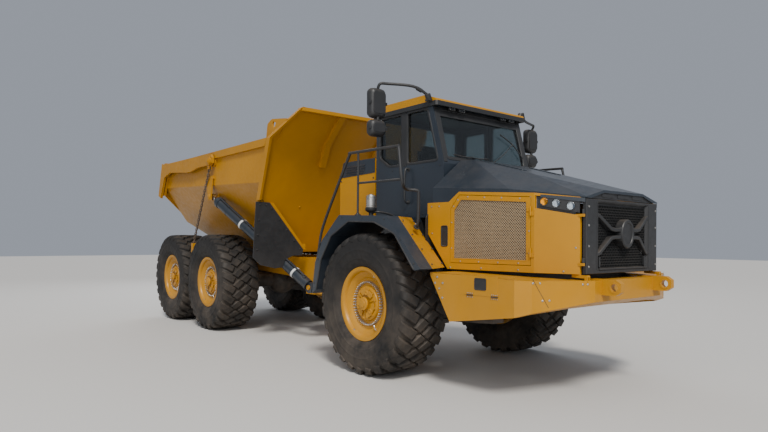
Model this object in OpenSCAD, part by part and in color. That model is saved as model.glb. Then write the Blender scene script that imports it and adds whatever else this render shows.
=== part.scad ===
// Three-axle articulated dump truck at real size, in millimetres.
// Origin: the middle of its outline on the ground. +X is forward, +Y is left, +Z is up.

/* [Wheels] */
// Tyre outside diameter, over the lugs
tyre_d = 1870; // [1780:10:1890]
// Tyre section width
tyre_w = 750; // [640:10:760]
// Tread depth
lug_h = 45; // [20:5:50]
// Rim flange diameter
rim_d = 980; // [900:10:1020]
// Rim width between its outer edges
rim_w = 620; // [540:10:640]
// Wheel centre from the middle plane
track_half = 1345; // [1330:5:1360]
// Lugs round each shoulder of a tyre
lug_count = 28; // [24:1:30]

/* [Axles] */
// Front axle ahead of the origin
front_axle_x = 2467.5; // [2450:2.5:2490]
// Front axle to middle axle
wheelbase = 5060; // [5040:10:5120]
// Middle axle to rear axle
bogie_pitch = 1950; // [1920:5:2000]
// Hub spindle diameter, where a rim turns on it
spindle_d = 300; // [240:10:340]

/* [Articulation] */
// Steering pin behind the front axle
hitch_x = 1750; // [1740:5:1770]
// Height of the roll axis
roll_z = 950; // [930:5:970]
// Steering pin diameter
pin_d = 110; // [90:5:130]
// Roll tube outside diameter
roll_d = 300; // [260:10:320]

// Steering cylinder foot behind the front axle
steer_foot_x = 850; // [840:5:880]
// Steering cylinder foot from the middle plane
steer_foot_y = 250; // [240:5:260]
// Steering ear behind the steering pin
steer_ear_x = 280; // [270:5:290]
// Steering ear pin from the middle plane
steer_ear_y = 420; // [410:5:430]
// Steering barrel diameter
steer_d = 90; // [80:2:94]
// Steering rod diameter
steer_rod_d = 50; // [40:2:56]

/* [Bed] */
// Half width over the bed sides
bed_half_w = 1650; // [1640:5:1680]
// Top of the side rails above the ground
rail_z = 3450; // [3420:10:3480]
// Bed floor height in front of the kick-up
bed_floor_z = 1620; // [1610:5:1650]
// Half width of the flat floor
floor_half_w = 620; // [580:10:660]
// Plate thickness of the bed
bed_wall = 25; // [16:1:35]
// Bed hinge behind the front axle
dump_x = 7300; // [7280:5:7320]
// Bed hinge height
dump_z = 1680; // [1670:5:1690]
// Bed hinge pin diameter
dump_pin_d = 90; // [70:5:110]
// Top of the headboard
headboard_z = 3900; // [3850:10:3950]

/* [Hoist] */
// Hoist barrel diameter
hoist_d = 190; // [170:5:200]
// Hoist rod diameter
hoist_rod_d = 110; // [90:5:125]
// Hoist foot pin diameter
hoist_pin_d = 80; // [70:5:90]

/* [Cab] */
// Half width of the cab
cab_half_w = 900; // [880:5:920]
// Top of the cab roof
cab_roof_z = 3720; // [3680:10:3760]
// Bottom of the cab
cab_floor_z = 2080; // [2060:5:2100]
// Cab wall thickness
cab_wall = 40; // [30:2:50]
// Window glass thickness
glass_t = 8; // [5:1:12]

/* [Hood] */
// Front face of the grille ahead of the front axle
grille_x = 2720; // [2715:1:2725]
// Half width of the hood at the grille
nose_half_w = 768; // [760:2:776]
// Half width of the hood at the cab
cowl_half_w = 1120; // [1100:5:1130]
// Sheet thickness of the hood panels
hood_wall = 30; // [20:2:36]
// Lower edge of the side panels
panel_z = 1420; // [1415:1:1430]

/* [Fenders] */
// Outer face of the fenders from the middle plane
fender_half_w = 1750; // [1740:5:1760]

/* [Bumper] */
// Half width of the bumper
bumper_half_w = 1500; // [1480:5:1520]
// Front face of the bumper ahead of the front axle
bumper_x = 2790; // [2780:5:2800]
// Tow-eye tips ahead of the front axle
tow_x = 3010; // [2990:5:3030]

/* [Clearances] */
// Gap between pieces that move past each other
gap = 6; // [6:1:8]
// Gap between still faces that seat on each other
seat = 0.3; // [0.2:0.1:0.5]

/* [Hidden] */
$fn = 48;

wheel_z = tyre_d / 2;
mid_x = -wheelbase;
rear_x = -wheelbase - bogie_pitch;

yellow = "#e3ad16"; slate = "#39434d"; dark = "#1d1e20"; steel = "#b9bcc0"; tan = "#8d8368";

// Helpers: everything is drawn with x measured from the front axle
module place() translate([front_axle_x, 0, 0]) children();
// outline in X-Z, from y0 to y1
module xz(pts, y0, y1) translate([0, y1, 0]) rotate([90, 0, 0]) linear_extrude(y1 - y0) polygon(pts);
// outline in Y-Z, from x0 to x1
module yz(pts, x0, x1) translate([x0, 0, 0]) rotate([90, 0, 90]) linear_extrude(x1 - x0) polygon(pts);
// outline in X-Y, from z0 to z1
module xy(pts, z0, z1) translate([0, 0, z0]) linear_extrude(z1 - z0) polygon(pts);
// box from its two corners
module box(a, b) translate(a) cube(b - a);
// the same shape on both sides of the middle plane
module pair() { children(); mirror([0, 1, 0]) children(); }
// cylinder along Y between y0 and y1
module ycyl(x, z, d, y0, y1) translate([x, y1, z]) rotate([90, 0, 0]) cylinder(d = d, h = y1 - y0);
// cylinder along X between x0 and x1
module xcyl(y, z, d, x0, x1) translate([x0, y, z]) rotate([0, 90, 0]) cylinder(d = d, h = x1 - x0);
// round bar from a to b
module bar(a, b, d) {
  v = b - a; l = norm(v);
  translate(a) rotate([0, acos(v[2] / l), atan2(v[1], v[0])]) cylinder(d = d, h = l);
}
// bars joined by balls along a list of points
module tube(pts, d) {
  for (i = [0 : len(pts) - 2]) bar(pts[i], pts[i + 1], d);
  for (i = [1 : 1 : len(pts) - 2]) translate(pts[i]) sphere(d = d + 6);
}
// points mirrored to the other side of the middle plane, for [y, z] outlines
function both(h) = concat(h, [for (i = [len(h) - 1 : -1 : 0]) [-h[i][0], h[i][1]]]);

// Wheels
// x, side (+1 left), as [axle x, side]
module at_wheel(ax, s) translate([ax, s * track_half, wheel_z]) rotate([-90 * s, 0, 0]) children();

module tyre(ax, s) color("#2a2622") place() at_wheel(ax, s) {
  ro = tyre_d / 2; rb = rim_d / 2 - 20; w = tyre_w / 2; wb = rim_w / 2 - 14; rc = ro - lug_h;
  rotate_extrude($fn = 96) polygon([[rb, -wb], [rb + 22, -wb], [rb + 90, -w + 20], [(ro + rb) / 2 + 20, -w],
    [rc, -w + 60], [rc, w - 60], [(ro + rb) / 2 + 20, w], [rb + 90, w - 20], [rb + 22, wb], [rb, wb]]);
  // bent bars from near the middle of the tread out over each shoulder, trimmed to the crown
  pitch = PI * tyre_d / lug_count;
  intersection() {
    for (h = [0, 1]) for (i = [0 : lug_count - 1]) rotate((i + h / 2) * 360 / lug_count) mirror([0, 0, h])
      translate([rc - 90, 0, 0]) rotate([90, 0, 90]) linear_extrude(lug_h + 100) lug_plan(w, pitch);
    rotate_extrude($fn = 56) polygon([[rc - 100, -w + 10], [ro - 60, -w + 10], [ro, -w * 0.7],
      [ro, w * 0.7], [ro - 60, w - 10], [rc - 100, w - 10]]);
  }
}
// one lug seen from above the tread: w from the middle to the sidewall
module lug_plan(w, pitch)
  polygon([[-0.42 * pitch, 0.04 * w], [0.02 * pitch, 0.04 * w], [0.34 * pitch, 0.5 * w], [0.2 * pitch, w],
    [-0.42 * pitch, w], [-0.26 * pitch, 0.5 * w]]);

module rim(ax, s) color(yellow) place() at_wheel(ax, s) {
  rr = rim_d / 2 - 20 - seat; w = rim_w / 2; hub = spindle_d / 2 + 75; face = w - 20;
  difference() {
    // flange, gutter, dished disc, stud ring and planetary hub
    rotate_extrude($fn = 96) polygon([[rr - 30, -w], [rr + 18, -w], [rr + 18, -w + 14 - seat], [rr, -w + 14 - seat],
      [rr, w - 14 + seat], [rr + 18, w - 14 + seat], [rr + 18, w], [rr - 30, w], [rr - 45, w - 14], [rr - 58, w - 50],
      [370, w - 70], [345, w - 95], [325, w - 150], [hub + 8, w - 150], [hub, face - 20], [hub - 20, face],
      [95, face], [95, face + 14], [60, face + 14], [60, face + 30], [0, face + 30], [0, face - 70], [hub - 50, face - 70],
      [spindle_d / 2 + seat, w - 95], [spindle_d / 2 + seat, -w + 130], [hub, -w + 130], [rr - 60, w - 290]]);
    cylinder(d = spindle_d + 2 * seat, h = 2 * (w - 100), center = true);
  }
  // ribs on the hub's end
  for (a = [20, 140, 260]) rotate(a) box([60, -12, face - 1], [hub - 25, 12, face + 10]);
}

// solid axle with a differential housing and two spindles
module axle(ax) color(dark) place() {
  sp = track_half + rim_w / 2 - 100;
  ycyl(ax, wheel_z, spindle_d, -sp, sp);
  translate([ax, 0, wheel_z]) sphere(d = 620);
  pair() ycyl(ax, wheel_z, 520, track_half - rim_w / 2 - 100, track_half - rim_w / 2 + 100);
}
module front_axle() axle(0);
module middle_axle() axle(mid_x);
module rear_axle() axle(rear_x);

// Front frame
frame_y = 460; frame_t = 90; frame_z0 = 1080; frame_z1 = 1400;
hx = -hitch_x;
module front_chassis() color(dark) place() pair()
  xz([[-1300, 800], [-760, 800], [-640, 1290], [500, 1290], [900, frame_z0], [2550, frame_z0],
    [2550, 1350], [2400, frame_z1], [-1300, frame_z1]], frame_y, frame_y + frame_t);

inner_y = frame_y - seat; outer_y = frame_y + frame_t + seat;
module front_crossmembers() color(dark) place() {
  for (x = [480, 2400]) box([x, -inner_y, 1100], [x + 100, inner_y, x < 1000 ? 1285 : 1340]);
  // crossmember and pins that hold the steering cylinders
  box([-steer_foot_x - 80, -inner_y, roll_z - 150], [-steer_foot_x + 80, inner_y, roll_z - 70]);
  pair() translate([-steer_foot_x, steer_foot_y, roll_z - 71]) cylinder(d = 56, h = 140);
}

// upper and lower jaws round the steering pin, on a web between the rails
module hitch_jaws() color(dark) place() difference() {
  union() {
    for (z = [[roll_z - 300, roll_z - 200], [roll_z + 200, roll_z + 300]]) {
      translate([hx, 0, z[0]]) cylinder(d = 320, h = z[1] - z[0]);
      xy([[hx, -160], [-1300, -inner_y], [-1100, -inner_y], [-1100, inner_y], [-1300, inner_y], [hx, 160]], z[0], z[1]);
    }
    box([-1300, -inner_y, roll_z - 300], [-1200, inner_y, frame_z1]);
  }
  translate([hx, 0, 0]) cylinder(d = pin_d + 2 * seat, h = 2000);
  // windows for the steering cylinders
  pair() box([-1310, 150, roll_z - 200], [-1190, frame_y, roll_z + 200]);
}

// brackets that carry the cab, the fenders, the strips and the box behind the cab, and towers for the front struts
module cab_mounts() color(dark) place() {
  for (x = [-1080, -380, 200]) {
    box([x, -inner_y, frame_z1 - 60], [x + 90, inner_y, frame_z1]);
    pair() box([x, outer_y, frame_z1 - 60], [x + 90, 880, frame_z1]);
    pair() box([x, 780, frame_z1 + seat], [x + 90, 880, cab_floor_z - seat]);
  }
  pair() box([310, frame_y, frame_z1 + seat], [440, frame_y + frame_t, 1760]);
  pair() {
    box([520, frame_y, frame_z1 + seat], [strip_back(strip_arm_z) - seat, frame_y + frame_t, 1740 - seat]);
    box([520, frame_y, 1740], [strip_back(strip_arm_z) - seat, cowl_half_w + 50, strip_arm_z]);
  }
}

// A-frame from a ball under the chassis to the axle, and one ride strut on each side
module front_suspension() color(dark) place() {
  difference() {
    union() {
      xy([[-80, -520], [80, -520], [900, -110], [900, 110], [80, 520], [-80, 520]], 640, 700);
      pair() box([40, 499, 640], [450, 700, 700]);
      pair() box([-70, 400, 699], [70, 500, wheel_z - spindle_d / 2 - seat]);
    }
    translate([0, 0, wheel_z]) sphere(d = 620 + 2 * gap);
  }
  pair() {
    bar([375, 640, 700 + seat], [375, 640, 1740], 140);
    box([320, outer_y, 1500], [430, 640, 1700]);
  }
}

// bumper: a front beam with tow eyes, and a wing behind each end of it
module bumper() color(yellow) place() {
  difference() {
    union() {
      intersection() { bumper_solid(); box([wing_x + seat, -2000, 700], [bumper_x + 1, 2000, 1500]); }
      pair() translate([0, 550, 0]) difference() {
        xz([[2600, 1200], [tow_x - 60, 1200], [tow_x, 1240], [tow_x, 1330], [tow_x - 60, 1370], [2600, 1370]], -35, 35);
        ycyl(tow_x - 75, 1285, 80, -50, 50);
      }
      // ears and pins that the hood tilts on
      pair() for (y = [hood_pin_y - 26, hood_pin_y + 14]) {
        box([hood_pin[0] - 18, y, 1340], [hood_pin[0] + 18, y + 12, hood_pin[1]]);
        ycyl(hood_pin[0], hood_pin[1], 36, y, y + 12);
      }
      pair() ycyl(hood_pin[0], hood_pin[1], 20, hood_pin_y - 27, hood_pin_y + 27);
    }
    bumper_room();
  }
}
wing_x = 2350;
module bumper_wings() color(yellow) place() difference() {
  intersection() { bumper_solid(); box([1000, -2000, 700], [wing_x, 2000, 1500]); }
  bumper_room();
  pair() box([1640, 1420, 1180], [1900, 1600, 1300]);
}
module bumper_solid() {
  plan = [[1120, 1500], [2360, 1500], [2500, 1400], [bumper_x, 710]];
  k = bumper_half_w - 1500;
  intersection() {
    xy([for (p = concat(plan, [for (i = [3 : -1 : 0]) [plan[i][0], -plan[i][1]]])) [p[0], p[1] + sign(p[1]) * k]], 800, 1400);
    xz([[1100, 1395], [1380, 940], [1440, 845], [wing_x, 980], [bumper_x + 1, 1130], [bumper_x + 1, 1355]], -1600, 1600);
  }
}
// room for the chassis rails, the radiator and each front wheel
module bumper_room() {
  box([1000, -frame_y - frame_t - 300, 700], [2550 + seat, frame_y + frame_t + 300, 1500]);
  pair() xy([[1000, 800], [2560, 800], [2440, 1320], [2330, 1440], [1600, 1440], [1600, 1330], [1000, 1330]], 700, 1350);
}
// pins that the hood tilts on, in the bumper's ears: x, z, and y of the middle of each
hood_pin = [2740, 1395]; hood_pin_y = 775;

module engine_block() color("#4a4a48") place() {
  box([700, -330, 1120], [2000, 330, 2050]);
  pair() for (x = [900, 1700]) box([x, 330 + seat, 1150], [x + 120, inner_y, 1250]);
  box([2150, -640, frame_z1 + seat], [2280, 640, 2150]);
  box([2000 + seat, -200, 1450], [2150 - seat, 200, 1600]);
}

// Fenders
fo = [[-1080, 1000], [-1000, 1450], [-820, 1770], [-410, 2110], [600, 2070], [1220, 1440]];
fi = [[1110, 1420], [750, 1850], [350, 2000], [-200, 2020], [-600, 1830], [-850, 1500], [-980, 1060]];
lip_y = 1560;
module fenders() color(slate) place() pair() {
  // outer lip with the wheel arch, and the band behind it, cut along the sloped strip
  xz(concat(fo, fi), lip_y, fender_half_w);
  intersection() {
    xz(concat(fo, fi), cab_half_w + 60, lip_y + 1);
    xy([[-1100, 800], [-1100, lip_y + 1], [560 - 3 * seat, lip_y + 1], [330 - 3 * seat, cowl_half_w + 12 - seat], [330 - 3 * seat, 800]], 900, 2200);
  }
  for (x = [-380, 200]) box([x, 880 + seat, 2020], [x + 90, cab_half_w + 61, 2070]);
}

// back of each strip beside the hood, at height z, and the top of the arm that carries it
function strip_back(z) = 330 + (2070 - z) * 620 / 630;
strip_arm_z = 1796;
module fender_strips() color(yellow) place() pair() {
  // sloped plate between the front of each fender and the hood
  band = [[600, 2070], [1220, 1440], [1180, 1440], [560, 2070]];
  hull() {
    xz(band, lip_y - seat - 1, lip_y - seat);
    translate([-230, 0, 0]) xz(band, cowl_half_w + 12, cowl_half_w + 13);
  }
}

// Cab
// side outline: rear foot, rear top, front top, A-pillar foot
rz = cab_roof_z - 120;
cab_side = [[-670, cab_floor_z], [-670, rz], [510, rz], [730, 2780], [730, cab_floor_z]];
front_win = [[-50 + 60, 2830], [-50 + 60, rz - 60], [420, rz - 60], [625, 2830]];
rear_win = [[-600, 2970], [-600, rz - 60], [-50 - 50, rz - 60], [-50 - 50, 2830], [-380, 2830]];
door_x0 = -640; door_x1 = -60;
door_pin = [door_x0, cab_half_w + 20];
// two hinge knuckles at the door's rear edge: the lower half with its pin, or the upper half with its bore
module door_knuckles(upper) for (z = [cab_floor_z + 220, rz - 300]) translate([door_pin[0], door_pin[1], z]) {
  if (upper) difference() {
    union() { translate([0, 0, seat]) cylinder(d = 34, h = 60); box([0, -21, seat], [50, -8, 60 + seat]); }
    cylinder(d = 16 + 2 * seat, h = 200, center = true);
  }
  else {
    translate([0, 0, -60]) { cylinder(d = 34, h = 60); box([-25, -21, 0], [0, -8, 60]); }
    cylinder(d = 16, h = 60);
  }
}
module cab_shell() color(slate) place() { cab_box(); door_knuckles(false); }
module cab_box() difference() {
  w = cab_half_w; t = cab_wall;
  xz(cab_side, -w, w);
  xz([[-670 + t, cab_floor_z + t], [-670 + t, rz + 9], [510 - t, rz + 9], [510 - t, rz], [730 - t, 2780], [730 - t, cab_floor_z + t]], -w + t, w - t);
  // windows of the near side; the far side's rear bay is the door opening
  xz(front_win, -w - 9, w + 9);
  xz(rear_win, -w - 9, -w + t + 9);
  xz([[door_x0, 2130], [door_x0, rz - 30], [door_x1, rz - 30], [door_x1, 2130]], w - t - 9, w + 9);
  // windscreen and rear window
  box([440, -w + 90, 2860], [900, w - 90, rz - 70]);
  box([-700, -w + 140, 2850], [-600, w - 140, rz - 70]);
}

module cab_roof() color(yellow) place() {
  w = cab_half_w;
  xz([[-700, rz + seat], [-700, cab_roof_z - 50], [-620, cab_roof_z], [380, cab_roof_z], [590, cab_roof_z - 70],
    [610, rz + seat]], -w - 20, w + 20);
}

module cab_glass() color([0.25, 0.32, 0.34, 0.5]) place() {
  w = cab_half_w; y = w - cab_wall + 12;
  xz(front_win, -y, -y + glass_t);
  xz(front_win, y - glass_t, y);
  xz(rear_win, -y, -y + glass_t);
  // windscreen lies in the slope of the A-pillars
  dx = (730 - 510) / (rz - 2780);
  xz([for (p = [[2860, 8], [rz - 70, 8], [rz - 70, 8 + glass_t], [2860, 8 + glass_t]])
    [730 - (p[0] - 2780) * dx - p[1] - 8, p[0]]], -w + 90, w - 90);
  box([-656, -w + 140, 2850], [-656 + glass_t, w - 140, rz - 70]);
}

module cab_interior() color("#33302e") place() {
  f = cab_floor_z + cab_wall;
  // seat base, cushion and back, then dash, column and wheel
  box([-420, -220, f], [-120, 220, f + 260]);
  box([-470, -260, f + 260], [30, 260, f + 400]);
  xz([[-470, f + 400], [-560, f + 1000], [-450, f + 1030], [-350, f + 400]], -240, 240);
  xz([[430, f], [430, f + 560], [560, f + 700], [670, f + 620], [670, f]], -700, 700);
  bar([450, 0, f + 500], [240, 0, f + 690], 60);
  translate([235, 0, f + 695]) rotate([0, -48, 0]) { rotate_extrude() translate([200, 0]) circle(d = 34, $fn = 24);
    cylinder(d = 90, h = 30, center = true); for (a = [0, 120, 240]) rotate(a) box([0, -14, -10], [200, 14, 10]); }
}

module mirrors() color(dark) place() for (s = [-1, 1]) {
  m = s < 0 ? [150, -1550, 3120, 3750] : [170, 1655, 2970, 3600];
  tube([[500, s * (cab_half_w + 20 + seat), rz + 40], [500, s * (cab_half_w + 60), rz + 40], [520, s * (cab_half_w + 180), m[3] + 50],
    [500, m[1], m[3] + 50], [m[0] + 40, m[1], m[3] - 100]], 32);
  for (z = [[m[2], m[2] + 220], [m[2] + 240, m[3]]])
    xz([[m[0] - 50, z[0] + 20], [m[0] - 50, z[1] - 20], [m[0] + 20, z[1]], [m[0] + 60, z[1] - 40], [m[0] + 60, z[0] + 40], [m[0] + 20, z[0]]],
      m[1] - 130, m[1] + 130);
  bar([m[0] + 20, m[1], m[2] + 200], [m[0] + 20, m[1], m[2] + 260], 40);
}

module handrails() color(dark) place() pair() difference() { rails(); translate([0, 0, seat]) xz(concat(fo, fi), lip_y, fender_half_w); }
module rails() {
  y = fender_half_w - 60;
  tube([[-700, y, 1882], [-220, y, 2940], [560, y, 2940], [560, y, 2072]], 36);
  tube([[-435, y, 2460], [560, y, 2460]], 30);
  bar([0, y, 2094 + seat], [0, y, 2940], 30);
}

module rear_box() color(yellow) place() {
  xz([[-1600, 2100], [-1600, 2700], [-1500, 2990], [-700 - gap, 2990], [-700 - gap, 2100]], -cab_half_w, cab_half_w);
  pair() box([-1080, 600, frame_z1 + seat], [-990, 700, 2100 - seat]);
}

module cab_door() color(slate) place() { door_leaf(); door_knuckles(true); }
module door_leaf() difference() {
  w = cab_half_w; t = cab_wall; g = gap;
  xz([[door_x0 + g, 2130 + g], [door_x0 + g, rz - 30 - g], [door_x1 - g - 4, rz - 30 - g], [door_x1 - g - 4, 2130 + g]], w - t, w);
  xz([[door_x0 + 80, 2830], [door_x0 + 80, rz - 110], [door_x1 - 70, rz - 110], [door_x1 - 70, 2830]], w - t - 9, w + 9);
}
module cab_door_glass() color([0.25, 0.32, 0.34, 0.5]) place()
  xz([[door_x0 + 80, 2830], [door_x0 + 80, rz - 110], [door_x1 - 70, rz - 110], [door_x1 - 70, 2830]],
    cab_half_w - cab_wall + 14, cab_half_w - cab_wall + 14 + glass_t);

// Hood
// plan half width at x, straight between three stations
function hood_y(x) = x < 2200 ? cowl_half_w + (960 - cowl_half_w) * (x - 700) / 1500
  : 960 + (nose_half_w - 960) * (x - 2200) / (grille_x - 2200);
ridge = [[780, 2830], [980, 2820], [1870, 2570], [grille_x, 2330]];
function plan(x0, x1, t) = concat([[x0, hood_y(x0) - t], [2200, hood_y(2200) - t], [x1, hood_y(x1) - t]],
  [[x1, -hood_y(x1) + t], [2200, -hood_y(2200) + t], [x0, -hood_y(x0) + t]]);
module hood_solid(t) {
  // stations: x, edge height, ridge height
  s = [[760, 2440, 2830], [980, 2425, 2820], [1870, 2365, 2570], [grille_x, 2245, 2330]];
  for (i = [0 : 2]) hull() for (j = [i, i + 1])
    translate([s[j][0] - (j == i ? 0 : 1), 0, 0]) yz([[-hood_y(s[j][0]) + t, 2100], [-hood_y(s[j][0]) + t, s[j][1] - t],
      [-hood_y(s[j][0]) * 0.55, s[j][2] - t], [hood_y(s[j][0]) * 0.55, s[j][2] - t], [hood_y(s[j][0]) - t, s[j][1] - t], [hood_y(s[j][0]) - t, 2100]], 0, 1);
}
// lower edge of the hood's top: x, z from the nose back to the dark corner panel
belt = [[2200, 2302], [1165, 2368]];
module hood_shell() color(slate) place() difference() {
  intersection() {
    hood_solid(0);
    xz([[760, 2250], [760, 2900], [grille_x + 1, 2900], [grille_x + 1, 2232], for (p = belt) p, [1010, 2250]], -1200, 1200);
  }
  hood_solid(hood_wall);
}

// opening for each screen door, x and z, and how far its pin stands outside the panel
scr_x0 = 1035; scr_x1 = 2160; scr_z0 = 1495; scr_pin_y = 14; scr_edge = 55;
scr = [[scr_x0, scr_z0], [scr_x0, 2160], [1170, 2332], [scr_x1, 2262], [scr_x1, scr_z0]];
grille_pin = [2695, -786];
// a side panel's own frame: x along the panel from its front end, y outward on the left side
module on_side(s, x0, x1) mirror([0, s > 0 ? 0 : 1, 0]) {
  a = atan2(hood_y(x0) - hood_y(x1), x1 - x0);
  translate([x1, hood_y(x1), 0]) rotate(-a) children();
}
module screen_knuckles(s, upper) on_side(s, scr_x0, scr_x1) for (z = [1640, 2100]) translate([0, scr_pin_y, z]) {
  if (upper) difference() {
    union() { translate([0, 0, seat]) cylinder(d = 20, h = 50); box([-50, -14, seat], [0, -4, 50 + seat]); }
    cylinder(d = 10 + 2 * seat, h = 200, center = true);
  }
  else {
    translate([0, 0, -50]) { cylinder(d = 20, h = 50); box([0, -16, 0], [40, -4, 50]); }
    cylinder(d = 10, h = 50);
  }
}
module hood_sides() color(yellow) place() {
  difference() {
    xy(plan(670, grille_x - 60, 0), panel_z, 2400);
    xy(plan(660, grille_x - 50, hood_wall), panel_z - 9, 2410);
    // lower rear corner, upper edge along the hood's top, then the openings for the lamps and the screen doors
    xz([[600, 1300], [1000, 1300], [995, panel_z], [669, 1871], [600, 1871]], -1300, 1300);
    xz([[600, 2420], [600, 2250 - seat], [1010, 2250 - seat], for (i = [1, 0]) belt[i] - [0, seat], [grille_x, 2232 - seat],
      [grille_x, 2420]], -1300, 1300);
    xz([[2207, 2133], [2207, 2272], [2725, 2205], [2725, 2031]], -1300, 1300);
    xz(scr, -1300, 1300);
    // handle pockets
    pair() translate([0, hood_y(965), 0]) box([900, -12, 1705], [990, 40, 1950]);
  }
  for (s = [-1, 1]) screen_knuckles(s, false);
  // lugs that turn on the bumper's pins
  pair() difference() {
    union() {
      xz([[2560, 1385], [hood_pin[0], hood_pin[1] - 18], [hood_pin[0], 1412], [2659, 1412], [2659, 1450], [2560, 1450]],
        hood_pin_y - 12, hood_pin_y + 12);
      ycyl(hood_pin[0], hood_pin[1], 36, hood_pin_y - 12, hood_pin_y + 12);
    }
    ycyl(hood_pin[0], hood_pin[1], 20 + 2 * seat, 0, 1000);
  }
  // ears and pins for the grille
  for (z = [1540, 2060]) {
    box([2610, grille_pin[1] - 14, z - 30], [grille_pin[0] + 14, grille_pin[1] + 12, z - seat]);
    translate([grille_pin[0], grille_pin[1], z - 1]) cylinder(d = 12, h = 50);
  }
}

// outline of the door in the panel's own frame, drawn in by g
function scr_out(g) = [for (i = [0 : 4]) let (p = scr[i], k = norm([scr_x1 - scr_x0, hood_y(scr_x0) - hood_y(scr_x1)]) / (scr_x1 - scr_x0),
  dx = [1, 1, 0.5, -1, -1][i], dz = [1, -0.4, -1, -1, 1][i]) [(p[0] - scr_x1) * k + dx * g, p[1] + dz * g]];
module screen_door(s) color(tan) place() {
  on_side(s, scr_x0, scr_x1) difference() {
    xz(scr_out(gap), -hood_wall, 0);
    xz(scr_out(scr_edge), -14, 1);
    xz(scr_out(scr_edge), -hood_wall - 1, -24);
  }
  screen_knuckles(s, true);
}
module screen_door_r() screen_door(-1);
module screen_door_l() screen_door(1);

module headlamps() color(dark) place() for (s = [-1, 1]) on_side(s, 2225, grille_x) {
  // flange behind the panel, and the lamp bowl with an amber lamp and two round lamps
  xz([[-535, 2100], [-535, 2262], [-115, 2213], [-115, 2025]], -90, -lamp_t - seat);
  difference() {
    xz([[-490, 2160], [-490, 2256], [-70, 2198], [-70, 2072]], -hood_wall - 1, -4);
    for (l = lamps) ycyl(l[0], l[1], l[2] + 16, -22, 0);
  }
  for (l = lamps) ycyl(l[0], l[1], l[2], -23, -12);
}
// thickness of the panel beside the lamps, square to its face
lamp_t = hood_wall * cos(atan2(hood_y(2200) - hood_y(grille_x), grille_x - 2200));
// lamps: distance back from the nose, height, diameter
lamps = [[-448, 2204, 80], [-317, 2182, 84], [-160, 2150, 84]];

module grille() color(dark) place() {
  w = nose_half_w - 10; x0 = grille_x - 50; x1 = grille_x;
  difference() {
    yz([[-w, panel_z], [-w, 2225], [w, 2225], [w, panel_z]], x0, x1);
    yz([[-w + 60, panel_z + 60], [-w + 60, 2170], [w - 60, 2170], [w - 60, panel_z + 60]], x0 - 1, x1 + 1);
  }
  box([x0, -w + 59, panel_z + 59], [x0 + 12, w - 59, 2171]);
  // crossed double ribs that meet at a plain oval boss
  intersection() {
    box([x0 + 11, -w + 59, panel_z + 59], [x1 - 2, w - 59, 2171]);
    for (s = [-1, 1]) for (d = [-75, 75])
      translate([x0, 0, 1825 + d]) rotate([s * 28, 0, 0]) box([0, -900, -18], [48, 900, 18]);
  }
  translate([x0 + 11, 0, 1825]) rotate([0, 90, 0]) cylinder(d = 200, h = x1 - x0 - 11);
  for (z = [1540, 2060]) difference() {
    union() {
      translate([grille_pin[0], grille_pin[1], z]) cylinder(d = 26, h = 50);
      box([grille_pin[0] - 5, grille_pin[1], z], [grille_pin[0] + 13, -w + 1, z + 50]);
    }
    translate([grille_pin[0], grille_pin[1], z - 1]) cylinder(d = 12 + 2 * seat, h = 60);
  }
}

// Articulation
ear_z = roll_z - 50;
module hitch_yoke() color(yellow) place() {
  translate([hx, 0, roll_z - 200 + gap]) cylinder(d = 300, h = 400 - 2 * gap);
  xcyl(0, roll_z, roll_d, hx - 750, hx);
  // ears that the steering rods push on
  pair() box([hx - steer_ear_x - 80, 90, ear_z - 60], [hx - steer_ear_x + 80, steer_ear_y + 80, ear_z]);
  translate([hx, 0, roll_z - 330]) cylinder(d = pin_d, h = 660);
}

// steering cylinders, from the front frame to the yoke's ears
steer_foot = [-steer_foot_x, steer_foot_y, roll_z];
steer_eye = [hx - steer_ear_x, steer_ear_y, roll_z];
steer_v = (steer_eye - steer_foot) / norm(steer_eye - steer_foot);
module steer_barrel(s) color(slate) place() mirror([0, s > 0 ? 0 : 1, 0]) difference() {
  union() {
    translate(steer_foot - [0, 0, 40]) cylinder(d = 100, h = 80);
    bar(steer_foot + steer_v * 40, steer_foot + steer_v * 700, steer_d);
  }
  translate(steer_foot - [0, 0, 90]) cylinder(d = 56 + 2 * seat, h = 180);
  bar(steer_foot + steer_v * 80, steer_foot + steer_v * 720, steer_rod_d + 2 * seat);
}
module steer_rod(s) color(steel) place() mirror([0, s > 0 ? 0 : 1, 0]) {
  bar(steer_foot + steer_v * 510, steer_eye - steer_v * 20, steer_rod_d);
  translate([steer_eye[0], steer_eye[1], ear_z + gap]) cylinder(d = 90, h = 88);
}
module steer_barrel_r() steer_barrel(-1);
module steer_barrel_l() steer_barrel(1);
module steer_rod_r() steer_rod(-1);
module steer_rod_l() steer_rod(1);

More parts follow.
